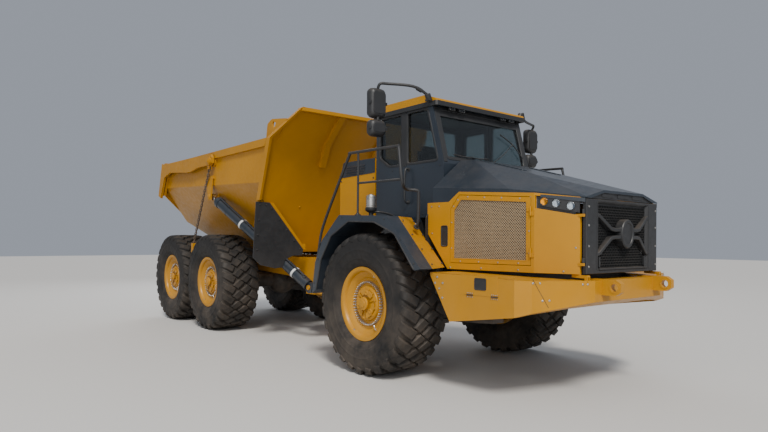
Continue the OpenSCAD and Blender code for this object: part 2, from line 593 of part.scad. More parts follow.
// Rear frame
rail_y = 450; rail_t = 80;
hoist_foot = [-2450, 900, 955]; hoist_eye = [-4913, bed_half_w - 50, 2600];
chain_foot = [-6000, bed_half_w - 90, 1700]; chain_top = [-4760, bed_half_w + 95, 3150]; chain_d = 34;
chain_v = (chain_foot - chain_top) / norm(chain_foot - chain_top);
chain_end = chain_d / 2 * sqrt(1 - chain_v[2] * chain_v[2]) + seat;
ball_d = hoist_pin_d + 50; foot_y = hoist_foot[1] - 130;
module rear_chassis() color(yellow) place() difference() {
  union() {
    // box round the roll tube
    xz([[-2200, 780], [-2200, 1300], [-2400, 1450], [-3200, 1450], [-3200, 780]], -rail_y - rail_t, rail_y + rail_t);
    // arms and pins that the hoist feet turn on
    pair() {
      xy([[-2900, rail_y + rail_t - 1], [hoist_foot[0] - 90, foot_y], [hoist_foot[0] + 90, foot_y], [-2200, rail_y + rail_t - 1]],
        hoist_foot[2] - 110, hoist_foot[2] + 110);
      ycyl(hoist_foot[0], hoist_foot[2], hoist_pin_d, foot_y - 1, hoist_foot[1] + 70);
      translate(hoist_foot) sphere(d = ball_d);
    }
    // rails
    pair() xz([[-3100, 1050], [-3100, 1450], [-3600, 1450], [-dump_x - 200, 1500], [-dump_x - 260, 1420],
      [-dump_x - 200, 1250], [-6000, 1180]], rail_y, rail_y + rail_t);
    for (x = [-4100, -6600, -dump_x + 300]) box([x, -rail_y - 1, 1260], [x + 120, rail_y + 1, 1440]);
    // hinge ears under the bed's tail
    pair() xz([[-dump_x - 130, 1400], [-dump_x - 110, dump_z + 60], [-dump_x + 110, dump_z + 60], [-dump_x + 200, 1400]],
      rail_y, rail_y + rail_t);
    // outriggers for the tailgate chains
    pair() {
      box([chain_foot[0] - 50, rail_y + rail_t - 1, 1400], [chain_foot[0] + 50, chain_foot[1] + 30, 1500]);
      box([chain_foot[0] - 40, chain_foot[1] - 40, 1499], [chain_foot[0] + 40, chain_foot[1] + 40, chain_foot[2] - chain_end]);
    }
  }
  pair() ycyl(-dump_x, dump_z, dump_pin_d + 2 * seat, 0, 900);
  xcyl(0, roll_z, roll_d + 2 * seat, -2520, -2199);
}

module walking_beams() color(dark) place() {
  xm = (mid_x + rear_x) / 2; under = wheel_z - spindle_d / 2 - seat;
  pair() {
    xz([[rear_x - 120, 640], [rear_x - 120, under], [rear_x + 160, under], [rear_x + 320, 1000], [xm - 150, 1120], [xm + 150, 1120],
      [mid_x - 320, 1000], [mid_x - 160, under], [mid_x + 120, under], [mid_x + 120, 640]], 620, 760);
    ycyl(xm, 1000, 200, rail_y + rail_t + seat, 621);
  }
}

module driveshaft() color("#5a5a5a") place() {
  r = 310 + seat;
  xcyl(0, wheel_z, 110, mid_x + r, -3200 - seat);
  xcyl(0, wheel_z, 110, rear_x + r, mid_x - r);
}

// Hoist
hoist_v = (hoist_eye - hoist_foot) / norm(hoist_eye - hoist_foot);
module hoist_barrel(s) color(slate) place() mirror([0, s > 0 ? 0 : 1, 0]) difference() {
  union() {
    bar(hoist_foot + hoist_v * 70, hoist_foot + hoist_v * 2850, hoist_d);
    ycyl(hoist_foot[0], hoist_foot[2], 190, hoist_foot[1] - 50, hoist_foot[1] + 50);
  }
  translate(hoist_foot) sphere(d = ball_d + 2 * seat);
  ycyl(hoist_foot[0], hoist_foot[2], hoist_pin_d + 16, hoist_foot[1] - 60, hoist_foot[1] + 60);
  bar(hoist_foot + hoist_v * 120, hoist_foot + hoist_v * 3000, stage_d + 2 * seat);
}
stage_d = (hoist_d + hoist_rod_d) / 2;
module hoist_stage(s) color(steel) place() mirror([0, s > 0 ? 0 : 1, 0]) difference() {
  bar(hoist_foot + hoist_v * 130, hoist_foot + hoist_v * 2900, stage_d);
  bar(hoist_foot + hoist_v * 150, hoist_foot + hoist_v * 3000, hoist_rod_d + 2 * seat);
}
module hoist_stage_r() hoist_stage(-1);
module hoist_stage_l() hoist_stage(1);
module hoist_rod(s) color(steel) place() mirror([0, s > 0 ? 0 : 1, 0]) {
  bar(hoist_foot + hoist_v * 160, hoist_eye - hoist_v * 140, hoist_rod_d);
  bar(hoist_eye - hoist_v * 141, hoist_eye, 64);
  ycyl(hoist_eye[0], hoist_eye[2], 130, hoist_eye[1] - 34, hoist_eye[1] + 34);
}
module hoist_barrel_r() hoist_barrel(-1);
module hoist_barrel_l() hoist_barrel(1);
module hoist_rod_r() hoist_rod(-1);
module hoist_rod_l() hoist_rod(1);

// Bed
// headboard profile: x, z, half width
hb = [[-3340, 1550, 530], [-2975, 2440, bed_half_w], [-2530, rail_z - 10, bed_half_w + 50], [-2030, headboard_z, 1370]];
hb_t = 50;
// bed stations: x, floor z, floor half width, crease z
bs = [[-2000, bed_floor_z, floor_half_w, 2700], [-dump_x + 800, bed_floor_z, floor_half_w, 2890],
  [-dump_x - 660, 2280, 1100, 2960]];
// rear edge of the bed's sides: x, z
tail = [[-dump_x - 50, rail_z + 10], [-dump_x - 260, 2760], [-dump_x - 500, 2100]];
module bed_volume(t) for (i = [0, 1]) hull() for (s = [bs[i], bs[i + 1]])
  yz(both([[s[2] - t * 0.4, s[1] + t], [bed_half_w - t, s[3] + t * 0.4], [bed_half_w - t, rail_z + (t > 0 ? 50 : 0)]]), s[0] - 1, s[0]);
module dump_body() color(yellow) place() {
  difference() {
    union() {
      intersection() {
        bed_volume(0);
        xz([[hb[0][0] - hb_t, 1500], [hb[0][0] - hb_t, hb[0][1]], [hb[1][0] - hb_t, hb[1][1]], [hb[2][0] - hb_t, rail_z], [tail[0][0], rail_z],
          for (p = tail) p, [-dump_x - 600, 1500]], -2000, 2000);
      }
      // hinge lugs under the tail, and bolsters under the floor
      pair() xz([[-dump_x - 130, dump_z + 500], [-dump_x - 90, dump_z - 60], [-dump_x + 90, dump_z - 60],
        [-dump_x + 500, dump_z + 60], [-dump_x + 500, dump_z + 400]], rail_y - 110, rail_y - gap);
      for (x = [-3900, -4800, -5700]) box([x, -floor_half_w, bed_floor_z - 60], [x + 120, floor_half_w, bed_floor_z + 1]);
      // hoist brackets: a plate on each side of the rod's eye
      pair() for (s = [-1, 1]) translate([0, hoist_eye[1] + s * 78, 0])
        xz([[hoist_eye[0] - 70, hoist_eye[2] - 70], [hoist_eye[0] - 110, 3000], [hoist_eye[0] + 160, 3000],
          [hoist_eye[0] + 70, hoist_eye[2] - 70]], -12, 12);
      pair() box([hoist_eye[0] - 160, bed_half_w - 1, 2940], [hoist_eye[0] + 160, hoist_eye[1] + 90, 3000]);
    }
    bed_volume(bed_wall);
  }
  // top rails and rear posts
  pair() xz([[-2645, rail_z - 130], [-2585, rail_z], [-dump_x + 10, rail_z], [-dump_x - 30, rail_z - 130]], bed_half_w - 1, bed_half_w + 45);
  pair() xz([[-dump_x + 130, rail_z - 129], [-dump_x - 20, rail_z - 129], [-dump_x - 260, 2760], [-dump_x - 130, 2760]], bed_half_w - 1, bed_half_w + 40);
  // hinge pins
  pair() ycyl(-dump_x, dump_z, dump_pin_d, rail_y - 90, rail_y + rail_t + 30);
  // bosses and pins that carry the tailgate's arms
  pair() ycyl(gate_pin[0], gate_pin[1], 200, bed_half_w - 1, bed_half_w + 40);
  pair() ycyl(gate_pin[0], gate_pin[1], gate_pin_d, bed_half_w - 1, bed_half_w + 140);
}
gate_pin = [-4750, 3270]; gate_pin_d = 90;

module headboard() color(yellow) place() {
  intersection() {
    xz(concat([for (p = hb) [p[0] - hb_t + seat, p[1]]], [for (i = [3 : -1 : 0]) [hb[i][0], hb[i][1] - (i == 3 ? 30 : 0)]]), -1800, 1800);
    yz(both([for (p = hb) [p[2], p[1]]]), -3400, -1900);
  }
  // bar and struts that carry each mud flap
  pair() {
    yz([[690, 1600], [790, 1600], [1460, 2410], [1350, 2410]], flap_x - 40, flap_x - seat);
    box([-3320, 690, 1640], [flap_x - 20, 740, 1700]);
    box([-3030, 1330, 2330], [flap_x - 20, 1390, 2400]);
  }
  // top flange and two stiffening channels
  box([-2120, -1370, headboard_z - 60], [-1980, 1370, headboard_z]);
  for (y = [-1000, 1000 - 110])
    xz([[-2700, 3080], [-2531, 3439], [-2060, 3870], [-1990, 3870], [-2460, 3430], [-2640, 3050]], y, y + 110);
  // flange along each side edge, and a lifting lug behind it
  pair() intersection() {
    xz([[-2991, 2440], [-2546, 3440], [-2046, headboard_z], [-1975, headboard_z - 2], [-2455, 3430], [-2905, 2440]], 1200, 1800);
    yz([[bed_half_w - 40, 2440], [bed_half_w + 1, 2440], [bed_half_w + 51, 3440], [1371, headboard_z], [1322, headboard_z], [bed_half_w + 2, 3430]], -3400, -1900);
  }
  pair() difference() {
    xz([[-2930, 3470], [-2880, 3740], [-2730, 3800], [-2400, 3760], [-2200, 3730], [-2560, 3400]], bed_half_w - 160, bed_half_w - 130);
    ycyl(-2650, 3705, 110, 1400, 1600);
  }
}

// flap outline, y and z, with the notch that the hoist barrel passes through
flap_x = -2960; flap_t = 20;
flap = [[1690, 2410], [1434, 2410], [760, 1600], [785, 1495], [960, 1495], [1130, 1420], [1175, 1290],
  [1325, 1275], [1605, 1339], [1740, 1470]];
module mud_flaps() color(dark) place() pair()
  yz(flap, flap_x, flap_x + flap_t);

module tailgate() color(yellow) place() {
  // gate plate, then an arm on each side with its pivot boss; gx is its rear face beside the bed's rear edge
  g = 15; gx = tail[0][0] - g; kx = tail[1][0] - g; top = rail_z + 30;
  intersection() {
    xz([[gx, top], [kx, 2760], [kx - 120, 2400], [kx - 160, 2400], [kx - 40, 2760], [gx - 40, top]], -bed_half_w - 60, bed_half_w + 60);
    yz(both([[1180, 2390], [bed_half_w + 60, 2840], [bed_half_w + 60, top + 20]]), kx - 300, gx + 100);
  }
  box([gx - 40, -bed_half_w - 60, top - 20], [gx + 75, bed_half_w + 60, top]);
  pair() difference() {
    union() {
      xz([[-4640, 3330], [-4700, 3400], [-4850, 3420], [gx + 175, 3440], [gx - 40, top - 10], [kx - 40, 2760], [kx + 95, 2700], [gx + 115, 3150],
        [gx + 465, 3230], [-5900, 3150], [-5700, 3150], [-5300, 3200], [-4860, 3200], [-4640, 3230]], bed_half_w + 60, bed_half_w + 110);
      ycyl(gate_pin[0], gate_pin[1], 170, bed_half_w + 60, bed_half_w + 138);
      // ears that the chain hangs in
      for (y = [chain_top[1] - 38, chain_top[1] + 18]) box([chain_top[0] - 30, y, chain_top[2] - 30], [chain_top[0] + 30, y + 15, 3210]);
    }
    ycyl(gate_pin[0], gate_pin[1], gate_pin_d + 2 * seat, bed_half_w, bed_half_w + 200);
    ycyl(chain_top[0], chain_top[2], 24 + 2 * seat, bed_half_w, bed_half_w + 200);
  }
}

module tailgate_chains() color(steel) place() pair() {
  bar(chain_top, chain_foot, chain_d - 6);
  ycyl(chain_top[0], chain_top[2], 24, chain_top[1] - 39, chain_top[1] + 34);
}

module tyre_fr() tyre(0, -1);
module tyre_fl() tyre(0, 1);
module tyre_mr() tyre(mid_x, -1);
module tyre_ml() tyre(mid_x, 1);
module tyre_rr() tyre(rear_x, -1);
module tyre_rl() tyre(rear_x, 1);
module rim_fr() rim(0, -1);
module rim_fl() rim(0, 1);
module rim_mr() rim(mid_x, -1);
module rim_ml() rim(mid_x, 1);
module rim_rr() rim(rear_x, -1);
module rim_rl() rim(rear_x, 1);

front_chassis();
front_axle();
front_suspension();
bumper();
engine_block();
fenders();
fender_strips();
hitch_jaws();
front_crossmembers();
cab_mounts();
bumper_wings();
cab_shell();
cab_roof();
cab_glass();
cab_interior();
mirrors();
handrails();
rear_box();
cab_door();
cab_door_glass();
hood_shell();
hood_sides();
headlamps();
grille();
screen_door_r();
screen_door_l();
hitch_yoke();
steer_barrel_r();
steer_barrel_l();
steer_rod_r();
steer_rod_l();
rear_chassis();
middle_axle();
rear_axle();
walking_beams();
driveshaft();
hoist_barrel_r();
hoist_barrel_l();
hoist_stage_r();
hoist_stage_l();
hoist_rod_r();
hoist_rod_l();
dump_body();
headboard();
mud_flaps();
tailgate();
tailgate_chains();
tyre_fr();
tyre_fl();
tyre_mr();
tyre_ml();
tyre_rr();
tyre_rl();
rim_fr();
rim_fl();
rim_mr();
rim_ml();
rim_rr();
rim_rl();
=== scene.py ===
import math

import bpy
import bmesh
from mathutils import Matrix, Vector


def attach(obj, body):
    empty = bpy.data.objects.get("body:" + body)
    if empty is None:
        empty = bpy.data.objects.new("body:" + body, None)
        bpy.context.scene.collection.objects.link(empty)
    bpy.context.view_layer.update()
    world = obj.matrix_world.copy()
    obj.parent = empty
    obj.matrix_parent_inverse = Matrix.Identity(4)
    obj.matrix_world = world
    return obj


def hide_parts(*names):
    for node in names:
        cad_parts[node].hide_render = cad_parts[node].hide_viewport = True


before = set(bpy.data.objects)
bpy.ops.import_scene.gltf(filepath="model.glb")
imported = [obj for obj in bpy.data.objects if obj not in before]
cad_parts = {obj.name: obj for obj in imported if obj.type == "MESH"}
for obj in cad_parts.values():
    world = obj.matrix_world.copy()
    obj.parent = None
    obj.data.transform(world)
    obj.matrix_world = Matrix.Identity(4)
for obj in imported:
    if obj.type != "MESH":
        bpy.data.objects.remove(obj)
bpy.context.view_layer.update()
print("frame loaded:", len(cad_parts), "nodes")

frontAxle = 2.4675   # the drawings measure x from the front axle
sides = {"r": -1, "l": 1}
wheelPlaces = {"fr": (0.0, -1), "fl": (0.0, 1), "mr": (-5.06, -1), "ml": (-5.06, 1), "rr": (-7.01, -1),
               "rl": (-7.01, 1)}
trackHalf = 1.345


def at(x, y, z):
    return Vector((x + frontAxle, y, z))


def atSide(side, place):
    x, y, z = place
    return at(x, side * y, z)


# camera: place and aim of the photograph, x from the front axle
cameraSetup = {"x": 6.229, "y": -6.375, "z": 1.765, "yaw": 140.80, "pitch": 0.062, "roll": 0.333,
               "lens": 27.911, "shiftY": 0.03125}


def makeCamera(s):
    yaw, pitch, roll = (math.radians(s[k]) for k in ("yaw", "pitch", "roll"))
    ahead = Vector((math.cos(yaw) * math.cos(pitch), math.sin(yaw) * math.cos(pitch), math.sin(pitch)))
    right = Vector((math.sin(yaw), -math.cos(yaw), 0))
    up = right.cross(ahead)
    r = right * math.cos(roll) + up * math.sin(roll)
    u = up * math.cos(roll) - right * math.sin(roll)
    data = bpy.data.cameras.new("photoCamera")
    data.lens, data.sensor_width, data.shift_y = s["lens"], 36, s["shiftY"]
    data.clip_end = 200
    cam = bpy.data.objects.new("photoCamera", data)
    m = Matrix((r, u, -ahead)).transposed().to_4x4()
    m.translation = at(s["x"], s["y"], s["z"])
    cam.matrix_world = m
    bpy.context.collection.objects.link(cam)
    bpy.context.scene.camera = cam


makeCamera(cameraSetup)
print("camera placed")

# studio: pale floor, a large key from the right front, broad fills
studio = {"floorColour": (0.62, 0.605, 0.58, 1), "worldColour": (0.80, 0.87, 1.0, 1), "worldStrength": 0.40,
          "sun": {"energy": 3.0, "angle": 12, "towards": (-0.62, 0.40, -0.80), "colour": (1.0, 0.96, 0.90)},
          "fill": {"energy": 650, "size": 12, "place": (9, -9, 7), "colour": (1.0, 0.99, 0.97)},
          "back": {"energy": 700, "size": 10, "place": (-12, 6, 9), "colour": (0.92, 0.96, 1.0)}}


def makeStudio(s):
    world = bpy.data.worlds.new("studioWorld")
    world.use_nodes = True
    bg = world.node_tree.nodes["Background"]
    bg.inputs["Color"].default_value = s["worldColour"]
    bg.inputs["Strength"].default_value = s["worldStrength"]
    bpy.context.scene.world = world
    sun = bpy.data.lights.new("studioSun", "SUN")
    sun.energy, sun.angle, sun.color = s["sun"]["energy"], math.radians(s["sun"]["angle"]), s["sun"]["colour"]
    o = bpy.data.objects.new("studioSun", sun)
    o.rotation_euler = Vector(s["sun"]["towards"]).to_track_quat("-Z", "Y").to_euler()
    bpy.context.collection.objects.link(o)
    for k in ("fill", "back"):
        lamp = bpy.data.lights.new("studio" + k.title(), "AREA")
        lamp.energy, lamp.size, lamp.color = s[k]["energy"], s[k]["size"], s[k]["colour"]
        o = bpy.data.objects.new(lamp.name, lamp)
        o.location = s[k]["place"]
        o.rotation_euler = (Vector((0, 0, 1.5)) - o.location).to_track_quat("-Z", "Y").to_euler()
        bpy.context.collection.objects.link(o)
    me = bpy.data.meshes.new("studioFloor")
    me.from_pydata([(-60, -60, 0), (60, -60, 0), (60, 60, 0), (-60, 60, 0)], [], [(0, 1, 2, 3)])
    floor = bpy.data.objects.new("studioFloor", me)
    bpy.context.collection.objects.link(floor)
    mat = bpy.data.materials.new("studioFloor")
    mat.use_nodes = True
    mat.node_tree.nodes["Principled BSDF"].inputs["Base Color"].default_value = s["floorColour"]
    mat.node_tree.nodes["Principled BSDF"].inputs["Roughness"].default_value = 0.9
    me.materials.append(mat)


makeStudio(studio)
print("studio ready")


socketKinds = {"Color": "NodeSocketColor", "Bare": "NodeSocketColor", "Dust": "NodeSocketColor",
               "Normal": "NodeSocketVector"}


def newGroup(name, inputs, outputs):
    g = bpy.data.node_groups.new(name, "ShaderNodeTree")
    for label, value in inputs.items():
        kind = socketKinds.get(label, "NodeSocketFloat")
        g.interface.new_socket(name=label, in_out="INPUT", socket_type=kind).default_value = value
    for label in outputs:
        g.interface.new_socket(name=label, in_out="OUTPUT", socket_type=socketKinds.get(label, "NodeSocketFloat"))
    return g, g.nodes.new("NodeGroupInput").outputs, g.nodes.new("NodeGroupOutput").inputs


def addNode(tree, kind, values=None, **settings):
    # a value is a number, a colour, or the output of another node
    n = tree.nodes.new(kind)
    for k, v in settings.items():
        setattr(n, k, v)
    for k, v in (values or {}).items():
        if isinstance(v, bpy.types.NodeSocket):
            tree.links.new(v, n.inputs[k])
        else:
            n.inputs[k].default_value = v
    return n


def objectPlace(g):
    return addNode(g, "ShaderNodeTexCoord").outputs["Object"]


def faceNormal(g):
    return addNode(g, "ShaderNodeNewGeometry").outputs["Normal"]


def addNoise(g, place, scale, detail=4, roughness=0.55):
    values = {"Vector": place, "Scale": scale, "Detail": detail, "Roughness": roughness}
    return addNode(g, "ShaderNodeTexNoise", values).outputs["Fac"]


def addRange(g, value, low, high, toLow=0.0, toHigh=1.0):
    values = {"Value": value, "From Min": low, "From Max": high, "To Min": toLow, "To Max": toHigh}
    return addNode(g, "ShaderNodeMapRange", values).outputs[0]


def addMath(g, operation, *values, clamp=False):
    return addNode(g, "ShaderNodeMath", dict(enumerate(values)), operation=operation, use_clamp=clamp).outputs[0]


def mixColours(g, factor, a, b):
    return addNode(g, "ShaderNodeMix", {"Factor": factor, 6: a, 7: b}, data_type="RGBA").outputs[2]


def makeEdgeWear():
    # chipped paint: a band along edges from the bevel normal, broken up by noise
    g, i, o = newGroup("edgeWear", {"Color": (1, 1, 1, 1), "Bare": (0.3, 0.3, 0.3, 1), "Radius": 0.01, "Amount": 0.5,
                                    "Scale": 9.0},
                       ("Color", "Mask"))
    bevel = addNode(g, "ShaderNodeBevel", {"Radius": i["Radius"]}, samples=4).outputs[0]
    turn = addNode(g, "ShaderNodeVectorMath", {0: bevel, 1: faceNormal(g)}, operation="DOT_PRODUCT").outputs["Value"]
    band = addRange(g, turn, 1.0, 0.86)
    chips = addRange(g, addNoise(g, objectPlace(g), i["Scale"], 6, 0.62), 0.50, 0.60)
    mask = addMath(g, "MULTIPLY", addMath(g, "MULTIPLY", band, chips), i["Amount"], clamp=True)
    g.links.new(mixColours(g, mask, i["Color"], i["Bare"]), o["Color"])
    g.links.new(mask, o["Mask"])
    return g


def makeSiteDust():
    # dry dust: settles on faces that look up, and thickens towards the ground
    g, i, o = newGroup("siteDust", {"Color": (1, 1, 1, 1), "Dust": (0.46, 0.36, 0.27, 1), "Amount": 0.3, "Low": 0.5,
                                    "Top": 1.8, "Scale": 2.5},
                       ("Color", "Mask"))
    place = objectPlace(g)
    height = addNode(g, "ShaderNodeSeparateXYZ", {0: place}).outputs["Z"]
    facing = addNode(g, "ShaderNodeSeparateXYZ", {0: faceNormal(g)}).outputs["Z"]
    low = addMath(g, "MULTIPLY", addRange(g, height, 0.0, i["Top"], 1.0, 0.0), i["Low"])
    both = addMath(g, "MULTIPLY_ADD", addRange(g, facing, 0.2, 1.0), i["Amount"], low)
    patch = addRange(g, addNoise(g, place, i["Scale"], 8, 0.68), 0.36, 0.66)
    mask = addMath(g, "MULTIPLY", both, patch, clamp=True)
    g.links.new(mixColours(g, mask, i["Color"], i["Dust"]), o["Color"])
    g.links.new(mask, o["Mask"])
    return g


def makeMottle():
    # slow change of shade, and roughness from a finer noise
    g, i, o = newGroup("mottle", {"Color": (1, 1, 1, 1), "Shade": 0.12, "Scale": 1.2, "Rough Low": 0.35,
                                  "Rough High": 0.5},
                       ("Color", "Roughness"))
    place = objectPlace(g)
    swing = addRange(g, addNoise(g, place, i["Scale"], 5, 0.6), 0.3, 0.7, -1.0, 1.0)
    tone = addMath(g, "MULTIPLY_ADD", swing, i["Shade"], 1.0)
    shaded = addNode(g, "ShaderNodeVectorMath", {0: i["Color"], "Scale": tone}, operation="SCALE").outputs[0]
    fine = addNode(g, "ShaderNodeTexNoise", {"Vector": place, "Scale": 14.0, "Detail": 5}).outputs["Fac"]
    g.links.new(shaded, o["Color"])
    g.links.new(addRange(g, fine, 0.35, 0.65, i["Rough Low"], i["Rough High"]), o["Roughness"])
    return g


def makeGrain():
    # surface grain as a normal: fine speckle over a slow ripple
    g, i, o = newGroup("surfaceGrain", {"Fine Scale": 260.0, "Ripple Scale": 2.0, "Depth": 0.001, "Strength": 0.2},
                       ("Normal",))
    place = objectPlace(g)
    fine, ripple = (addNoise(g, place, i[k], 2) for k in ("Fine Scale", "Ripple Scale"))
    height = addMath(g, "MULTIPLY_ADD", ripple, 6.0, fine)
    bump = addNode(g, "ShaderNodeBump", {"Strength": i["Strength"], "Distance": i["Depth"], "Height": height})
    g.links.new(bump.outputs[0], o["Normal"])
    return g


edgeWear, siteDust, mottle, surfaceGrain = makeEdgeWear(), makeSiteDust(), makeMottle(), makeGrain()
print("shared effects ready")

# bare shows where the paint is worn, dust lies on top faces and low near the ground; grain: scale, depth, strength
finishes = {
    "yellowPaint": {"colour": (0.46, 0.206, 0.0, 1), "shade": 0.07, "rough": (0.34, 0.46),
                    "bare": (0.42, 0.22, 0.04, 1), "wear": 0.5, "dust": 0.08, "low": 0.12,
                    "grain": (300.0, 0.0006, 0.12), "sockets": {"Coat Weight": 0.05, "Coat Roughness": 0.2,
                                                                "Specular IOR Level": 0.35}},
    "bedPaint": {"colour": (0.43, 0.192, 0.0, 1), "shade": 0.10, "rough": (0.36, 0.52),
                 "bare": (0.28, 0.14, 0.05, 1), "wear": 0.7, "dust": 0.22, "low": 0.16,
                 "grain": (220.0, 0.001, 0.18), "sockets": {"Coat Weight": 0.04, "Coat Roughness": 0.3,
                                                            "Specular IOR Level": 0.35}},
    "slatePaint": {"colour": (0.016, 0.023, 0.033, 1), "shade": 0.10, "rough": (0.30, 0.42),
                   "bare": (0.12, 0.13, 0.14, 1), "wear": 0.35, "dust": 0.07, "low": 0.08,
                   "grain": (320.0, 0.0006, 0.12), "sockets": {"Coat Weight": 0.25, "Coat Roughness": 0.2}},
    "frameBlack": {"colour": (0.016, 0.017, 0.018, 1), "shade": 0.20, "rough": (0.45, 0.62),
                   "bare": (0.10, 0.09, 0.08, 1), "wear": 0.4, "dust": 0.5, "low": 0.45,
                   "grain": (160.0, 0.0012, 0.25)},
    "moldedBlack": {"colour": (0.020, 0.021, 0.023, 1), "shade": 0.12, "rough": (0.42, 0.58),
                    "bare": (0.06, 0.06, 0.06, 1), "wear": 0.2, "dust": 0.2, "low": 0.1,
                    "grain": (500.0, 0.0010, 0.35)},
    "rubber": {"colour": (0.0125, 0.012, 0.012, 1), "shade": 0.22, "rough": (0.62, 0.80),
               "bare": (0.09, 0.08, 0.07, 1), "wear": 0.35, "dust": 0.10, "low": 0.18,
               "grain": (240.0, 0.0008, 0.2), "sockets": {"Specular IOR Level": 0.35}},
    "castGrey": {"colour": (0.09, 0.09, 0.088, 1), "shade": 0.25, "rough": (0.5, 0.7),
                 "bare": (0.25, 0.24, 0.22, 1), "wear": 0.4, "dust": 0.4, "low": 0.3,
                 "grain": (120.0, 0.002, 0.4), "sockets": {"Metallic": 0.3}},
    "polishedRod": {"colour": (0.72, 0.73, 0.75, 1), "shade": 0.04, "rough": (0.08, 0.16),
                    "bare": (0.5, 0.5, 0.5, 1), "wear": 0.1, "dust": 0.06, "low": 0.0,
                    "grain": (60.0, 0.0002, 0.05), "sockets": {"Metallic": 1.0}},
    "zincSteel": {"colour": (0.48, 0.47, 0.45, 1), "shade": 0.15, "rough": (0.25, 0.42),
                  "bare": (0.3, 0.27, 0.22, 1), "wear": 0.3, "dust": 0.15, "low": 0.1,
                  "grain": (200.0, 0.0006, 0.2), "sockets": {"Metallic": 0.9}},
    "seatCloth": {"colour": (0.045, 0.042, 0.040, 1), "shade": 0.2, "rough": (0.8, 0.95),
                  "bare": (0.07, 0.065, 0.06, 1), "wear": 0.3, "dust": 0.1, "low": 0.0,
                  "grain": (700.0, 0.002, 0.6), "sockets": {"Sheen Weight": 0.3}},
    "meshTan": {"colour": (0.33, 0.24, 0.14, 1), "shade": 0.12, "rough": (0.5, 0.65),
                "bare": (0.2, 0.14, 0.08, 1), "wear": 0.2, "dust": 0.4, "low": 0.3,
                "grain": (150.0, 0.001, 0.2)},
    "ventBlack": {"colour": (0.008, 0.009, 0.010, 1), "shade": 0.2, "rough": (0.5, 0.7),
                  "bare": (0.03, 0.03, 0.03, 1), "wear": 0.2, "dust": 0.12, "low": 0.05,
                  "grain": (300.0, 0.0008, 0.2)},
    "mirrorSilver": {"colour": (0.82, 0.84, 0.86, 1), "shade": 0.03, "rough": (0.03, 0.09),
                     "bare": (0.6, 0.6, 0.6, 1), "wear": 0.05, "dust": 0.05, "low": 0.0,
                     "grain": (40.0, 0.0001, 0.05), "sockets": {"Metallic": 1.0}},
    "bandWhite": {"colour": (0.70, 0.71, 0.70, 1), "shade": 0.06, "rough": (0.35, 0.5),
                  "bare": (0.4, 0.4, 0.4, 1), "wear": 0.2, "dust": 0.15, "low": 0.1,
                  "grain": (200.0, 0.0005, 0.1)},
    "chainSteel": {"colour": (0.16, 0.12, 0.09, 1), "shade": 0.3, "rough": (0.5, 0.75),
                   "bare": (0.35, 0.28, 0.2, 1), "wear": 0.6, "dust": 0.3, "low": 0.2,
                   "grain": (90.0, 0.002, 0.5), "sockets": {"Metallic": 0.6}},
}


def newMaterial(name):
    mat = bpy.data.materials.new(name)
    mat.use_nodes = True
    return mat, mat.node_tree, mat.node_tree.nodes["Principled BSDF"]


def makeFinish(name, s):
    mat, t, p = newMaterial(name)
    for k, v in s.get("sockets", {}).items():
        p.inputs[k].default_value = v
    (roughLow, roughHigh), (fine, depth, strength) = s["rough"], s["grain"]
    base = addNode(t, "ShaderNodeGroup", node_tree=mottle,
                   values={"Color": s["colour"], "Shade": s["shade"], "Rough Low": roughLow, "Rough High": roughHigh})
    wear = addNode(t, "ShaderNodeGroup", node_tree=edgeWear,
                   values={"Color": base.outputs["Color"], "Bare": s["bare"], "Amount": s["wear"]})
    dust = addNode(t, "ShaderNodeGroup", node_tree=siteDust,
                   values={"Color": wear.outputs["Color"], "Amount": s["dust"], "Low": s["low"]})
    grain = addNode(t, "ShaderNodeGroup", node_tree=surfaceGrain,
                    values={"Fine Scale": fine, "Depth": depth, "Strength": strength})
    dustRough = 0.9
    t.links.new(dust.outputs["Color"], p.inputs["Base Color"])
    t.links.new(addRange(t, dust.outputs["Mask"], 0.0, 1.0, base.outputs["Roughness"], dustRough),
                p.inputs["Roughness"])
    t.links.new(grain.outputs["Normal"], p.inputs["Normal"])
    return mat


finish = {name: makeFinish(name, s) for name, s in finishes.items()}

glassLook = {"cabGlass": {"colour": (0.34, 0.41, 0.42, 1), "rough": 0.03},
             "lensClear": {"colour": (0.62, 0.65, 0.67, 1), "rough": 0.08},
             "lensAmber": {"colour": (1.0, 0.60, 0.06, 1), "rough": 0.15},
             "lensRed": {"colour": (0.6, 0.02, 0.015, 1), "rough": 0.15}}


def makeGlass(name, s):
    mat, t, p = newMaterial(name)
    p.inputs["Transmission Weight"].default_value = 1.0
    p.inputs["IOR"].default_value = 1.45 if name == "cabGlass" else 1.3
    smear = addNode(t, "ShaderNodeGroup", node_tree=mottle,
                    values={"Color": s["colour"], "Shade": 0.05, "Rough Low": s["rough"],
                            "Rough High": s["rough"] + 0.05})
    t.links.new(smear.outputs["Color"], p.inputs["Base Color"])
    t.links.new(smear.outputs["Roughness"], p.inputs["Roughness"])
    return mat


finish.update({name: makeGlass(name, s) for name, s in glassLook.items()})
print("finishes ready:", len(finish))

